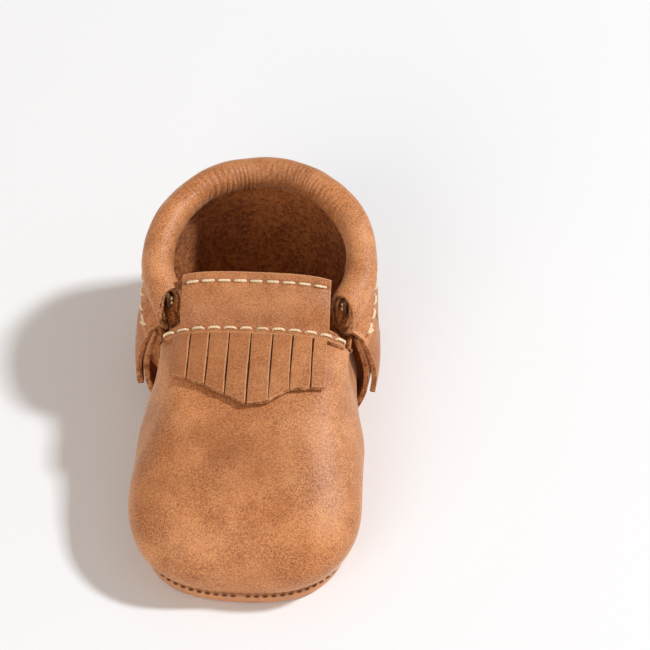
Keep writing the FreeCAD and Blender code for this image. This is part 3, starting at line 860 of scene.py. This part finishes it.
def stitch_tree():
    """Geometry nodes that lay one twisted stitch on every point of a mesh."""
    tree = bpy.data.node_groups.new("Laid stitches", "GeometryNodeTree")
    face = tree.interface
    face.new_socket("Places", in_out="INPUT", socket_type="NodeSocketGeometry")
    for name, kind, default in (
        ("Thread radius", "NodeSocketFloat", 0.4 * MM),
        ("Plies", "NodeSocketInt", 3),
        ("Twists", "NodeSocketFloat", 1.5),
        ("Steps", "NodeSocketInt", 12),
        ("Sides", "NodeSocketInt", 7),
        ("Seed", "NodeSocketInt", 3),
    ):
        face.new_socket(name, in_out="INPUT", socket_type=kind).default_value = default
    face.new_socket("Thread", in_out="INPUT", socket_type="NodeSocketMaterial")
    face.new_socket("Stitches", in_out="OUTPUT", socket_type="NodeSocketGeometry")
    given = tree.nodes.new("NodeGroupInput")

    def add(kind, links=(), **settings):
        made = tree.nodes.new(kind)
        for key, value in settings.items():
            setattr(made, key, value)
        for socket, value in dict(links).items():
            if isinstance(value, bpy.types.NodeSocket):
                tree.links.new(value, made.inputs[socket])
            else:
                made.inputs[socket].default_value = value
        return made.outputs

    def maths(operation, a, b=0.0):
        return add("ShaderNodeMath", {0: a, 1: b}, operation=operation)[0]

    def named(name, data_type):
        return add("GeometryNodeInputNamedAttribute", {"Name": name}, data_type=data_type)[0]

    def uneven(low, high, seed):
        sockets = {2: low, 3: high, "Seed": seed}
        return add("FunctionNodeRandomValue", sockets, data_type="FLOAT")[1]

    radius, plies = given.outputs["Thread radius"], given.outputs["Plies"]
    line = add("GeometryNodeCurvePrimitiveLine", {"Start": (-0.5, 0, 0), "End": (0.5, 0, 0)})[0]
    fine = add("GeometryNodeResampleCurve", {"Curve": line, "Count": given.outputs["Steps"]})[0]
    laid = add(
        "GeometryNodeDuplicateElements", {"Geometry": fine, "Amount": plies}, domain="SPLINE"
    )
    factor = add("GeometryNodeSplineParameter")["Factor"]
    ply_share = maths("DIVIDE", laid["Duplicate Index"], plies)
    twisted = maths("MULTIPLY", factor, given.outputs["Twists"])
    turn = maths("MULTIPLY", maths("ADD", twisted, ply_share), math.tau)
    from_middle = maths("ABSOLUTE", maths("SUBTRACT", maths("MULTIPLY", factor, 2.0), 1.0))
    dive = maths("POWER", from_middle, 4.0)
    slim = maths("SUBTRACT", 1.0, maths("MULTIPLY", maths("POWER", from_middle, 6.0), 0.5))
    several = maths("GREATER_THAN", plies, 1.5)
    orbit = maths("MULTIPLY", maths("MULTIPLY", maths("MULTIPLY", radius, 0.5), several), slim)
    side = maths("MULTIPLY", orbit, maths("COSINE", turn))
    height = maths("MULTIPLY", orbit, maths("SINE", turn))
    lift = maths("MULTIPLY", radius, maths("SUBTRACT", 0.85, maths("MULTIPLY", dive, 2.1)))
    offset = add("ShaderNodeCombineXYZ", {1: side, 2: maths("ADD", height, lift)})[0]
    bent = add("GeometryNodeSetPosition", {"Geometry": laid["Geometry"], "Offset": offset})[0]
    ply_radius = maths("MULTIPLY", radius, maths("SUBTRACT", 1.0, maths("MULTIPLY", several, 0.42)))
    circle = {"Resolution": given.outputs["Sides"], "Radius": 1.0}
    ring = add("GeometryNodeCurvePrimitiveCircle", circle, mode="RADIUS")[0]
    width = maths("MULTIPLY", ply_radius, slim)
    strand = add(
        "GeometryNodeCurveToMesh",
        {"Curve": bent, "Profile Curve": ring, "Scale": width, "Fill Caps": True},
    )[0]
    axes = {"Primary Axis": named("up", "FLOAT_VECTOR")}
    axes["Secondary Axis"] = named("along", "FLOAT_VECTOR")
    turned = add("FunctionNodeAxesToRotation", axes, primary_axis="Z", secondary_axis="X")[0]
    seed = given.outputs["Seed"]
    reach = maths("MULTIPLY", named("reach", "FLOAT"), uneven(0.94, 1.05, seed))
    plump = uneven(0.88, 1.12, maths("ADD", seed, 9.0))
    scale = add("ShaderNodeCombineXYZ", {0: reach, 1: plump, 2: plump})[0]
    places = {"Points": given.outputs["Places"], "Instance": strand}
    places.update({"Rotation": turned, "Scale": scale})
    placed = add("GeometryNodeInstanceOnPoints", places)[0]
    real = add("GeometryNodeRealizeInstances", {"Geometry": placed})[0]
    shaded = add("GeometryNodeSetShadeSmooth", {"Geometry": real})[0]
    covered = {"Geometry": shaded, "Material": given.outputs["Thread"]}
    done = add("GeometryNodeSetMaterial", covered)[0]
    result = tree.nodes.new("NodeGroupOutput")
    tree.links.new(done, result.inputs["Stitches"])
    return tree


def lay_stitches(name, starts, ends, ups, seed, **inputs):
    """Stitches between pairs of points, as one plain mesh."""
    tree = bpy.data.node_groups.get("Laid stitches") or stitch_tree()
    along = ends - starts
    mesh = bpy.data.meshes.new(name)
    mesh.from_pydata(((starts + ends) / 2).tolist(), [], [])
    for key, values in (("along", unit(along)), ("up", unit(ups))):
        mesh.attributes.new(key, "FLOAT_VECTOR", "POINT").data.foreach_set("vector", values.ravel())
    reach = np.linalg.norm(along, axis=-1)
    mesh.attributes.new("reach", "FLOAT", "POINT").data.foreach_set("value", reach)
    holder = bpy.data.objects.new(name + "_places", mesh)
    bpy.context.scene.collection.objects.link(holder)
    modifier = holder.modifiers.new("stitches", "NODES")
    modifier.node_group = tree
    names = {item.name: item.identifier for item in tree.interface.items_tree}
    for key, value in {"Seed": seed, **inputs}.items():
        modifier[names[key]] = value
    ready = holder.evaluated_get(bpy.context.evaluated_depsgraph_get())
    plain = bpy.data.meshes.new_from_object(ready)
    plain.name = name
    bpy.data.objects.remove(holder)
    if not plain.polygons:
        raise RuntimeError(f"{name} has no stitches")
    thing = bpy.data.objects.new(name, plain)
    bpy.context.scene.collection.objects.link(thing)
    return thing


# ------------------------------------------------------------ the pieces


SOLE_RINGS = (0.02, 0.25, 0.5, 0.75, 0.92)
SOLE_SECTION = (
    (-1.6, 2.0), (-1.6, 3.3), (-1.35, 3.75), (-0.9, 3.95), (-0.3, 3.98), (0.25, 3.9), (0.55, 3.55),
    (0.62, 3.0), (0.6, 2.2), (0.42, 1.4), (0.0, 0.6), (-0.6, 0.15), (-1.4, 0.0),
)


def make_sole():
    """The sole: a flat leather with its rim turned up to the seam."""
    runs = np.linspace(0.0, 2 * HALF_EDGE, 361)[:-1]
    rim = edge_point(runs)
    out = edge_out(runs)
    wobble = 0.12 * MM * waves(rim, 9.0 * MM, 5)
    spine = place(0.0, np.clip(rim[:, 1], SOLE_TOE + 26 * MM, SOLE_HEEL - 26 * MM), 0.0)

    def flat_ring(share, height):
        ring = mix(spine, rim - out * 1.6 * MM, share)
        ring[:, 2] = height
        return ring

    def lip_ring(grow, height):
        ring = rim + out * (grow * MM + wobble * (height > 0.5))[:, None]
        ring[:, 2] = height * MM * SOLE_LIP / (3.9 * MM)
        return ring

    rings = [flat_ring(share, SOLE_THICKNESS) for share in SOLE_RINGS]
    rings += [lip_ring(*point) for point in SOLE_SECTION]
    rings += [flat_ring(share, 0.0) for share in reversed(SOLE_RINGS)]
    vertices = np.concatenate(rings)
    count = len(runs)
    loops = [k * count + np.arange(count) for k in range(len(rings))]
    faces = np.concatenate([
        np.stack([a, b, np.roll(b, -1), np.roll(a, -1)], axis=-1) for a, b in zip(loops, loops[1:])
    ])
    closed = []
    for loop, order in ((loops[0], 1), (loops[-1], -1)):
        half = count // 2
        for k in range(half - 1):
            quad = [loop[k], loop[k + 1], loop[-(k + 2) % count], loop[-(k + 1) % count]]
            closed.append(quad[::order])
    faces = np.concatenate([faces, np.array(closed)])
    flat = np.zeros(len(faces))
    flat[: len(SOLE_RINGS) * count] = 1
    finishes = [finish_of("sole_leather"), finish_of("flesh_side")]
    return add_mesh("outsole_leather", vertices, faces, flat, finishes, {"rest": vertices})


def seam_scallop(run, above):
    """The upper drawn in at each stitch of the sole seam."""
    pitch = bpy.context.scene.moccasin_thread.sole_pitch
    ridge = np.abs(np.sin(math.pi * run / pitch)) ** 0.7
    return (0.3 * ridge - 0.42) * MM * np.exp(-((above / (1.5 * MM)) ** 2))


def seam_shade_and_dirt(above):
    """Painted shade with dirt: the dark line where the upper goes into the sole seam."""
    return np.exp(-((above / (1.1 * MM)) ** 2)) * 0.6


def make_vamp():
    shape = bpy.context.scene.moccasin_shape
    q, lift = grid(np.linspace(-1.09, 1.09, 381), np.linspace(0.0, 1.0, 101) ** 1.15)
    base = vamp_surface(q, lift)
    free = np.sin(math.pi * np.clip(lift * 1.02, 0, 1)) ** 0.5 * smooth((1.02 - np.abs(q)) / 0.2)
    fringe = smooth((base[..., 1] + 24 * MM) / (6 * MM))
    fringe = fringe * smooth((26 * MM - np.abs(base[..., 0])) / (5 * MM))
    sway = shape.sway * (waves(base, 16 * MM, 1) + 0.45 * waves(base, 6.5 * MM, 2))
    above = base[..., 2] - SEAM_HEIGHT
    height = sway * free * (1.0 - fringe) + seam_scallop(q * VAMP_RUN, above)
    # a darker patch over the middle of the vamp
    from_mid_vamp = ((base[..., 0] + 5 * MM) / (20 * MM)) ** 2 + ((base[..., 1] + 34 * MM) / (14 * MM)) ** 2
    tone = 0.4 * np.exp(-from_mid_vamp) * (1.0 + 0.35 * waves(base, 5 * MM, 3))
    return leather_sheet("vamp_leather", base, height, LEATHER, seam_shade_and_dirt(above), tone=tone)


def make_heel_panel():
    shape = bpy.context.scene.moccasin_shape
    share, lift = grid(np.linspace(0.0, 1.0, 421), np.linspace(0.0, 1.0, 71))
    base = panel_surface(share, lift)
    free = np.sin(math.pi * lift) ** 0.6
    sway = shape.sway * 0.8 * (waves(base, 15 * MM, 11) + 0.4 * waves(base, 6 * MM, 12))
    above = base[..., 2] - SEAM_HEIGHT
    under_fringe = smooth((lift - 0.4) / 0.15)
    height = sway * free * (1 - under_fringe) + seam_scallop(panel_run(share), above)
    return leather_sheet("heel_panel_leather", base, height, LEATHER, seam_shade_and_dirt(above))


def gathers(run, turn, seed):
    """Rounded ridges with tight valleys round the collar, irregular in pitch and slant."""
    pitch = bpy.context.scene.moccasin_shape.gather_pitch
    random = np.random.default_rng(seed)
    total = 0.0
    for share, step, slant in ((0.62, 1.0, 0.5), (0.38, 1.63, -0.7)):
        phase = run / (pitch * step) + slant * np.sin(np.radians(turn - 120.0) + run / (17.0 * MM))
        for size in (5.0, 11.0, 29.0):
            phase = phase + 0.5 * np.sin(run / (size * MM) + random.uniform(0, math.tau))
        ridge = np.abs(np.cos(math.pi * phase)) ** 0.85
        wander = 2.1 * np.sin(run / (9.0 * MM)) + turn / 48.0
        swell = 0.62 + 0.38 * np.sin(run / (4.3 * step * MM) + wander)
        total = total + share * (ridge - 0.7) * swell
    return total * 1.25


def make_collar():
    shape = bpy.context.scene.moccasin_shape
    share, turn = grid(np.linspace(0.0, 1.0, 520), np.linspace(-58.0, 292.0, 64))
    angle = collar_angle(share, turn)
    run = share * COLLAR_RUN
    back = smooth((78.0 - np.abs(angle - 96.0)) / 42.0)
    start = 62.0 + 26.0 * waves(place(run, 0.0, 0.0), 5.0 * MM, 24)
    inward = smooth((turn - start) / 60.0)
    base = collar_surface(share, turn)
    depth = shape.gather * back * inward * (1.0 + 0.9 * smooth((turn - 110.0) / 60.0))
    gentle = 0.35 * shape.gather * smooth((turn - 100.0) / 60.0)
    swell = 0.3 * MM * waves(base, 12 * MM, 21) + 0.1 * MM * waves(base, 4.5 * MM, 22)
    ridges = gathers(run, turn, 7)
    height = (depth + gentle) * ridges + swell * (0.4 + 0.6 * smooth((turn + 20) / 40))
    # painted shade with dirt: the valleys between the gathers are darkened
    valley_shade_and_dirt = np.clip(-ridges * 1.6, 0, 1) * back * inward * 0.5
    # darker over the back of the roll
    tone = 0.3 * smooth((50.0 - np.abs(angle - 92.0)) / 30.0)
    return leather_sheet("heel_collar_leather", base, height, COLLAR_LEATHER, valley_shade_and_dirt, tone=tone)


def make_collar_lining():
    """The margin's inner turn, which shows as a second fold in the collar's mouths."""
    share, turn = grid(np.linspace(0.0, 1.0, 260), np.linspace(-20.0, 262.0, 40))
    inside = mix(0.006, 0.994, share)
    base = collar_surface(inside, turn, -COLLAR_LEATHER - 0.15 * MM)
    crumple = 0.22 * MM * waves(base, 2.2 * MM, 23)
    return leather_sheet(
        "heel_collar_turning", base, crumple, 1.1 * MM, rim=0.3 * MM,
        finishes=("flesh_side", "flesh_side", "cut_edge"),
    )


def make_elastic(name, surface, thickness):
    return leather_sheet(name, surface, 0.0, thickness, rim=0.1 * MM, finishes=("elastic",) * 3)


def make_collar_elastic():
    reach = COLLAR_END_ANGLE - 2.5
    share, height = grid(np.linspace(0.0, 1.0, 161), np.linspace(-2.5 * MM, 2.5 * MM, 11))
    centre, outward, _ = collar_frame(mix(-reach, 180.0 + reach, share))
    centre[..., 2] += height
    return make_elastic("collar_elastic_band", centre + outward * 0.5 * MM, 1.0 * MM)


def facing_profile():
    """The facing's outer face in the plane across the fold: (y, height over the arch)."""
    yoke = np.stack([np.linspace(ROOT_Y, FOLD_Y - 0.8 * MM, 12), np.full(12, YOKE_OUT)], axis=-1)
    distance = np.linspace(2.2 * MM, TONGUE_LENGTH, 40)
    puff = 0.1 * MM + CHANNEL_RISE * np.sin(math.pi * np.minimum(distance / TONGUE_ROW, 1.0))
    rise = puff + LEATHER
    facing = np.stack([
        FOLD_Y + distance * math.cos(TONGUE_SLOPE) - rise * math.sin(TONGUE_SLOPE),
        distance * math.sin(TONGUE_SLOPE) + rise * math.cos(TONGUE_SLOPE),
    ], axis=-1)
    line = np.concatenate([yoke, facing])
    runs = run_lengths(line)
    fine = np.linspace(0.0, runs[-1], 400)
    line = np.stack([np.interp(fine, runs, line[:, k]) for k in range(2)], axis=-1)
    window = np.hanning(27)
    padded = np.concatenate([
        2 * line[0] - line[13:0:-1], line, 2 * line[-1] - line[-2:-15:-1]
    ])
    window = window / window.sum()
    eased = np.stack([np.convolve(padded[:, k], window, "valid") for k in range(2)], axis=-1)
    return eased, fine


def make_facing():
    """The fringe piece's yoke and the tongue's facing, one leather over the fold."""
    line, runs = facing_profile()
    picks = np.linspace(0.0, runs[-1], 92)
    y = np.interp(picks, runs, line[:, 0])
    rise = np.interp(picks, runs, line[:, 1])
    row_run = np.interp(ROW_FRONT, line[:200, 0], runs[:200])
    tongue_run = runs[-1] - (TONGUE_LENGTH - TONGUE_ROW)
    half = mix(YOKE_HALF_WIDTH, TONGUE_HALF_WIDTH, smooth((picks - 2.5 * MM) / (1.1 * MM)))
    share, y = grid(np.linspace(-1.0, 1.0, 181), y)
    x = share * half[None, :]
    base = place(x, y, row_arch(x) + rise[None, :])
    thread = bpy.context.scene.moccasin_thread
    across = np.broadcast_to(picks[None, :], x.shape)

    def marks(row, row_at):
        centres, _ = row
        total = run_lengths(centres)[-1]
        along = np.interp(x, centres[:, 0], run_lengths(centres))
        return stitch_marks(along, across, row_at, thread.pitch, thread.stitch, total)

    front_height, front_groove = marks(front_row(), row_run)
    top_height, top_groove = marks(tongue_row(), tongue_run)
    sway = 0.18 * MM * waves(base, 9 * MM, 31) + 0.07 * MM * waves(base, 3.2 * MM, 32)
    height = front_height + top_height + sway * smooth((across - 3 * MM) / (3 * MM))
    groove_shade_and_dirt = np.maximum(front_groove, top_groove)
    return leather_sheet("tongue_facing_leather", base, height, LEATHER, groove_shade_and_dirt, tone=0.3)


def make_tab():
    """The vamp's own leather running on under the facing."""
    distance = np.linspace(-1.6 * MM, TONGUE_LENGTH - 0.15 * MM, 50)
    x, d = grid(np.linspace(-1.0, 1.0, 91) * (TONGUE_HALF_WIDTH - 0.1 * MM), distance)
    bent = tongue_surface(x, np.maximum(d, 0.0))
    bent[..., 1] += np.minimum(d, 0.0)
    return leather_sheet("tongue_tab_leather", bent, 0.0, LEATHER)


def make_tongue_elastic():
    half = TONGUE_HALF_WIDTH - 0.8 * MM
    x, d = grid(np.linspace(-half, half, 81), np.linspace(3 * MM, 9 * MM, 13))
    return make_elastic("tongue_elastic_band", raised(tongue_surface(x, d), 0.9 * MM), 0.8 * MM)


def strip_curl(random, most_curl, bow, down, run, across):
    """Rise of a strip: its end curls off the leather below and its sides bow down."""
    edge = (2 * across - 1) ** 2
    curl = bpy.context.scene.moccasin_shape.curl * random.uniform(0.1, most_curl)
    bowed = bow * edge * smooth(run / (2 * MM)) * random.uniform(-0.3, 1.0)
    return curl * down**3 * mix(1.0, edge, 0.5) - bowed


def make_front_strip(index):
    """One front strip: lies on the vamp, its end curling a little off it."""
    random = np.random.default_rng(FRONT_STRIP_SEED + index)
    left, right = FRONT_EDGES[index - 1] + SLIT / 2, FRONT_EDGES[index] - SLIT / 2
    down = np.linspace(0.0, 1.0, 61)
    share, across = grid(down, np.linspace(0.0, 1.0, 15))
    lean = random.uniform(-0.1, 0.1) * MM
    narrow = 0.06 * MM * np.sin(share * math.pi * random.uniform(1.5, 2.5) + index)
    x = mix(left + narrow, right - narrow, across) + lean * share**1.5
    length_here = np.interp(x, LOWER_EDGE_X, LOWER_EDGE_LENGTH) + 0.12 * MM * waves(
        place(x, 0.0, index * 0.01), 1.2 * MM, index
    )
    base = instep_surface(x, ROOT_Y - share * length_here)
    run = share * length_here
    settled = smooth(run / STRIP_SETTLE)
    rise = mix(YOKE_OUT, LAYER_GAP + LEATHER, settled)
    curl = strip_curl(random, 1.0, 0.14 * MM, share, run, across)
    sway = 0.12 * MM * waves(base, STRIP_SWAY, 40 + index) * settled
    roll = random.uniform(0.12, 0.34) * MM * across * smooth(run / (4 * MM))
    surface = raised(base, rise + curl + roll)
    # the tone given here is painted shade: the strips further left, away from the key light, are
    # darkened more
    strip = leather_sheet(
        f"front_fringe_{index}", surface, sway, LEATHER, rim=0.1 * MM, tone=0.62 - 0.065 * index
    )
    return strip, surface[0, 7], surface[9, 7]


def raised_panel(share, lift):
    """The heel panel's face with the thickness of the fringe leather on it."""
    step = 0.004
    along = panel_surface(share + step, lift) - panel_surface(share - step, lift)
    across = panel_surface(share, lift + step) - panel_surface(share, lift - step)
    return panel_surface(share, lift) + unit(np.cross(along, across)) * SEWN_OUT


def heel_band(shares, turn_ins):
    """Outer face of the heel yoke: it hangs on the panel, then turns in to the collar's roll.

    turn_ins is below 0 for the hanging part, down to -1 at its lower edge, and 1 at the roll.
    """
    share, turn_in = grid(shares, turn_ins)
    hanging = raised_panel(share, mix(HEEL_YOKE_SHOULDER, HEEL_YOKE_EDGE, np.clip(-turn_in, 0, 1)))
    shoulder = raised_panel(share, np.full_like(share, HEEL_YOKE_SHOULDER))
    corner = raised_panel(share, np.full_like(share, HEEL_YOKE_CORNER))
    reach = COLLAR_END_ANGLE + 3.0
    angle = np.clip(panel_angle(share), -reach, 180.0 + reach)
    centre, outward, front = collar_frame(angle)
    radius = (COLLAR_RADIUS - 0.5 * MM + 0.5 * MM * front)[..., None]
    side, up = outward * math.cos(COLLAR_MEETING), place(0.0, 0.0, math.sin(COLLAR_MEETING))
    roll = centre + (side + up) * radius
    t = np.clip(turn_in, 0.0, 1.0)[..., None]
    turned = shoulder * (1 - t) ** 2 + corner * 2 * t * (1 - t) + roll * t**2
    return np.where(turn_in[..., None] <= 0, hanging, turned)


def make_heel_yoke():
    turn_ins = np.concatenate([np.linspace(-1.0, 0.0, 13)[:-1], np.linspace(0.0, 1.0, 22)])
    shares = np.linspace(0.004, 0.996, 561)
    base = heel_band(shares, turn_ins)
    points, _ = collar_row()
    runs = run_lengths(points)
    along = np.interp(shares, np.linspace(0.01, 0.99, len(runs)), runs)[:, None]
    up_run = np.cumsum(np.linalg.norm(np.diff(base, axis=1, prepend=base[:, :1]), axis=-1), axis=1)
    row_at = np.array([np.interp(HEEL_ROW_AT, turn_ins, ups) for ups in up_run])[:, None]
    thread = bpy.context.scene.moccasin_thread
    height, groove_shade_and_dirt = stitch_marks(
        np.broadcast_to(along, up_run.shape), up_run, row_at, thread.pitch, thread.stitch, runs[-1]
    )
    return leather_sheet(
        "heel_fringe_yoke_leather", base, height, LEATHER * 0.8, groove_shade_and_dirt, rim=0.1 * MM
    )


def make_heel_strip(index, start, end):
    random = np.random.default_rng(HEEL_STRIP_SEED + index)
    share, up = grid(np.linspace(start, end, 15), np.linspace(0.0, 1.0, 61))
    down = 1.0 - up
    length_here = HEEL_STRIP_LENGTH + HEEL_STRIP_EXTRA * np.sin(math.pi * share)
    root = HEEL_YOKE_BOTTOM - FOLD_CLEARANCE / panel_height(share)
    base = panel_surface(share, root - down * length_here / panel_height(share))
    run = down * length_here
    across = (share - start) / (end - start)
    settled = smooth(run / STRIP_SETTLE)
    rise = mix(SEWN_OUT, LAYER_GAP + LEATHER, settled)
    curl = strip_curl(random, 1.1, 0.15 * MM, down, run, across)
    sway = 0.14 * MM * waves(base, STRIP_SWAY, 70 + index) * settled
    surface = raised(base, rise + curl)
    strip = leather_sheet(f"heel_fringe_{index}", surface, sway, LEATHER, rim=0.1 * MM, tone=0.3)
    return strip, surface[7, -1], surface[7, -10]


def make_row(name, row, body, node, seed):
    thread = bpy.context.scene.moccasin_thread
    points, ups = row
    starts, ends, up = row_of_stitches(points, ups, thread.pitch, thread.stitch)
    if node == "collar_row_stitching":
        starts, ends, up = back_stitches(starts, ends, up)
    inputs = {"Thread radius": thread.radius, "Plies": thread.plies}
    inputs["Thread"] = finish_of("cream_thread")
    stitches = lay_stitches(name, starts, ends, up, seed, **inputs)
    return dress(stitches, body, [node])


# ------------------------------------------------------------ operators


def dress_blend(thing, nodes):
    """Puts a leather that spans the root and a moving body in place of its CAD nodes; it bakes the
    transform and leaves the leather on no body.
    """
    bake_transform(thing)
    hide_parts(*nodes)


class MakeSole(bpy.types.Operator):
    """Make the sole leather"""

    bl_idname = "moccasin.sole"
    bl_label = "Sole"

    def execute(self, context):
        dress(make_sole(), "root", ["outsole"])
        return {"FINISHED"}


class MakeVamp(bpy.types.Operator):
    """Make the vamp over the toe and instep"""

    bl_idname = "moccasin.vamp"
    bl_label = "Vamp"

    def execute(self, context):
        dress(make_vamp(), "root", ["vamp"])
        return {"FINISHED"}


class MakeHeelPanel(bpy.types.Operator):
    """Make the panel round the heel"""

    bl_idname = "moccasin.heel_panel"
    bl_label = "Heel panel"

    def execute(self, context):
        dress(make_heel_panel(), "root", ["heel_panel"])
        return {"FINISHED"}


class MakeCollar(bpy.types.Operator):
    """Make the gathered collar and the elastic in it"""

    bl_idname = "moccasin.collar"
    bl_label = "Collar"

    def execute(self, context):
        dress(make_collar(), "root", ["heel_collar"])
        dress(make_collar_lining(), "root", [])
        dress(make_collar_elastic(), "root", ["collar_elastic"])
        return {"FINISHED"}


class MakeTongue(bpy.types.Operator):
    """Make the tongue: its tab, its elastic and the facing that folds over them"""

    bl_idname = "moccasin.tongue"
    bl_label = "Tongue"

    def execute(self, context):
        dress_blend(make_facing(), ["tongue_facing", "fringe_yoke"])
        dress_blend(make_tab(), ["tongue_tab"])
        dress(make_tongue_elastic(), "tongue", ["tongue_elastic"])
        return {"FINISHED"}


class MakeFrontFringe(bpy.types.Operator):
    """Make the strips of the front fringe"""

    bl_idname = "moccasin.front_fringe"
    bl_label = "Front fringe"

    def execute(self, context):
        for index in range(1, len(FRONT_EDGES)):
            strip, root, below = make_front_strip(index)
            nodes = [f"front_fringe_strip_{index}"]
            dress_blend(strip, nodes)
        return {"FINISHED"}


class MakeHeelFringe(bpy.types.Operator):
    """Make the heel fringe: its sewn yoke and its strips"""

    bl_idname = "moccasin.heel_fringe"
    bl_label = "Heel fringe"

    def execute(self, context):
        dress(make_heel_yoke(), "root", ["heel_fringe_yoke"])
        for index, (start, end) in enumerate(heel_strip_ranges(), start=1):
            strip, root, below = make_heel_strip(index, start, end)
            nodes = [f"heel_fringe_strip_{index}"]
            dress_blend(strip, nodes)
        return {"FINISHED"}


class MakeStitching(bpy.types.Operator):
    """Lay the rows of stitches"""

    bl_idname = "moccasin.stitching"
    bl_label = "Stitching"

    def execute(self, context):
        make_row("fringe_row_thread", front_row(), "root", "fringe_row_stitching", 3)
        make_row("tongue_row_thread", tongue_row(), "tongue", "tongue_row_stitching", 5)
        make_row("collar_row_thread", collar_row(), "root", "collar_row_stitching", 8)
        thread = context.scene.moccasin_thread
        runs = np.linspace(0.0, 2 * HALF_EDGE, 1600)
        points = edge_point(runs) + edge_out(runs) * 0.5 * MM
        points[:, 2] = SOLE_LIP - 0.05 * MM
        ups = unit(edge_out(runs) + place(0.0, 0.0, 0.8))
        starts, ends, up = row_of_stitches(points, ups, thread.sole_pitch, thread.sole_stitch)
        stitches = lay_stitches(
            "sole_seam_thread", starts, ends, up, 2,
            **{"Thread radius": thread.sole_radius, "Plies": 1, "Steps": 6, "Sides": 6,
               "Thread": finish_of("brown_thread")},
        )
        dress(stitches, "root", ["sole_stitching"])
        return {"FINISHED"}


class MakeTacks(bpy.types.Operator):
    """Loop the threads that hold the elastic in the collar's mouths"""

    bl_idname = "moccasin.tacks"
    bl_label = "Elastic tacks"

    def execute(self, context):
        reach = COLLAR_END_ANGLE - 3.2
        starts, ends, ups = [], [], []
        for angle in (-reach, 180.0 + reach):
            centre, outward, _ = collar_frame(np.array(angle))
            for height in (-1.2, 0.6):
                base = centre - outward * 0.5 * MM + place(0.0, 0.0, height * MM)
                starts.append(base)
                ends.append(base + place(0.0, 0.0, 1.3 * MM))
                ups.append(-outward)
        loops = lay_stitches(
            "elastic_tack_thread", np.array(starts), np.array(ends), np.array(ups), 4,
            **{"Thread radius": 0.4 * MM, "Thread": finish_of("cream_thread")},
        )
        dress(loops, "root", ["elastic_tacks"])
        return {"FINISHED"}


CAMERA_AT = Vector((46.2, -512.3, 616.8)) * MM
CAMERA_TURN = (math.radians(42.0), 0.0, math.radians(2.9))
CAMERA_LENS = 151.5
FLOOR_HALF = 3.0
LIGHTS = (
    ("key", (1.95, 0.34, 2.1), 0.3, 68.0, (0.9, 0.95, 1.0)),
    ("fill", (-0.7, -1.5, 0.95), 1.3, 13.0, (1.0, 0.94, 0.88)),
)
LIGHTS_AIM = Vector((0.0, 0.0, 0.02))
ROOM_LIGHT = (1.0, 0.9, 0.82, 1.0)
ROOM_STRENGTH = 0.42


class MakeStage(bpy.types.Operator):
    """Set the floor, the lights and the camera"""

    bl_idname = "moccasin.stage"
    bl_label = "Stage"

    def execute(self, context):
        corners = FLOOR_HALF * np.array([(-1, -1, 0), (1, -1, 0), (1, 1, 0), (-1, 1, 0)])
        floor = add_mesh(
            "floor", corners, np.array([[0, 1, 2, 3]]), np.zeros(1), [finish_of("pale_floor")], {}
        )
        for light in LIGHTS:
            self.add_light(*light)
        world = bpy.data.worlds.new("studio")
        world.use_nodes = True
        background = world.node_tree.nodes["Background"].inputs
        background["Color"].default_value = ROOM_LIGHT
        background["Strength"].default_value = ROOM_STRENGTH
        context.scene.world = world
        lens = bpy.data.cameras.new("camera")
        lens.lens = CAMERA_LENS
        lens.sensor_width = 36.0
        camera = bpy.data.objects.new("camera", lens)
        camera.location = CAMERA_AT
        camera.rotation_euler = CAMERA_TURN
        context.scene.collection.objects.link(camera)
        context.scene.camera = camera
        context.scene.view_settings.view_transform = "Standard"
        return {"FINISHED"}

    def add_light(self, name, where, size, power, tint):
        lamp = bpy.data.lights.new(name, "AREA")
        lamp.energy = power
        lamp.size = size
        lamp.color = tint
        light = bpy.data.objects.new(name, lamp)
        light.location = where
        aim = LIGHTS_AIM - light.location
        light.rotation_euler = aim.to_track_quat("-Z", "Y").to_euler()
        bpy.context.scene.collection.objects.link(light)


class MoccasinPanel(bpy.types.Panel):
    """The moccasin's pieces and settings."""

    bl_idname = "VIEW3D_PT_moccasin"
    bl_label = "Moccasin"
    bl_space_type = "VIEW_3D"
    bl_region_type = "UI"
    bl_category = "Moccasin"

    def draw(self, context):
        for operator in PIECES:
            self.layout.operator(operator.bl_idname)
        for group in SETTINGS:
            box = self.layout.box()
            settings = getattr(context.scene, group)
            for name in settings.bl_rna.properties.keys():
                if name not in ("rna_type", "name"):
                    box.prop(settings, name)


SETTINGS = {
    "moccasin_shape": MoccasinShape,
    "moccasin_thread": MoccasinThread,
    "moccasin_colours": MoccasinColours,
}
PIECES = (
    MakeSole, MakeVamp, MakeHeelPanel, MakeCollar, MakeTongue, MakeFrontFringe,
    MakeHeelFringe, MakeStitching, MakeTacks, MakeStage,
)


def register():
    for group in (*SETTINGS.values(), *PIECES, MoccasinPanel):
        bpy.utils.register_class(group)
    for name, group in SETTINGS.items():
        setattr(bpy.types.Scene, name, PointerProperty(type=group))


def unregister():
    for name in SETTINGS:
        delattr(bpy.types.Scene, name)
    for group in reversed((*SETTINGS.values(), *PIECES, MoccasinPanel)):
        bpy.utils.unregister_class(group)


def main():
    register()
    for operator in PIECES:
        group, name = operator.bl_idname.split(".")
        getattr(getattr(bpy.ops, group), name)()


if __name__ == "__main__":
    main()
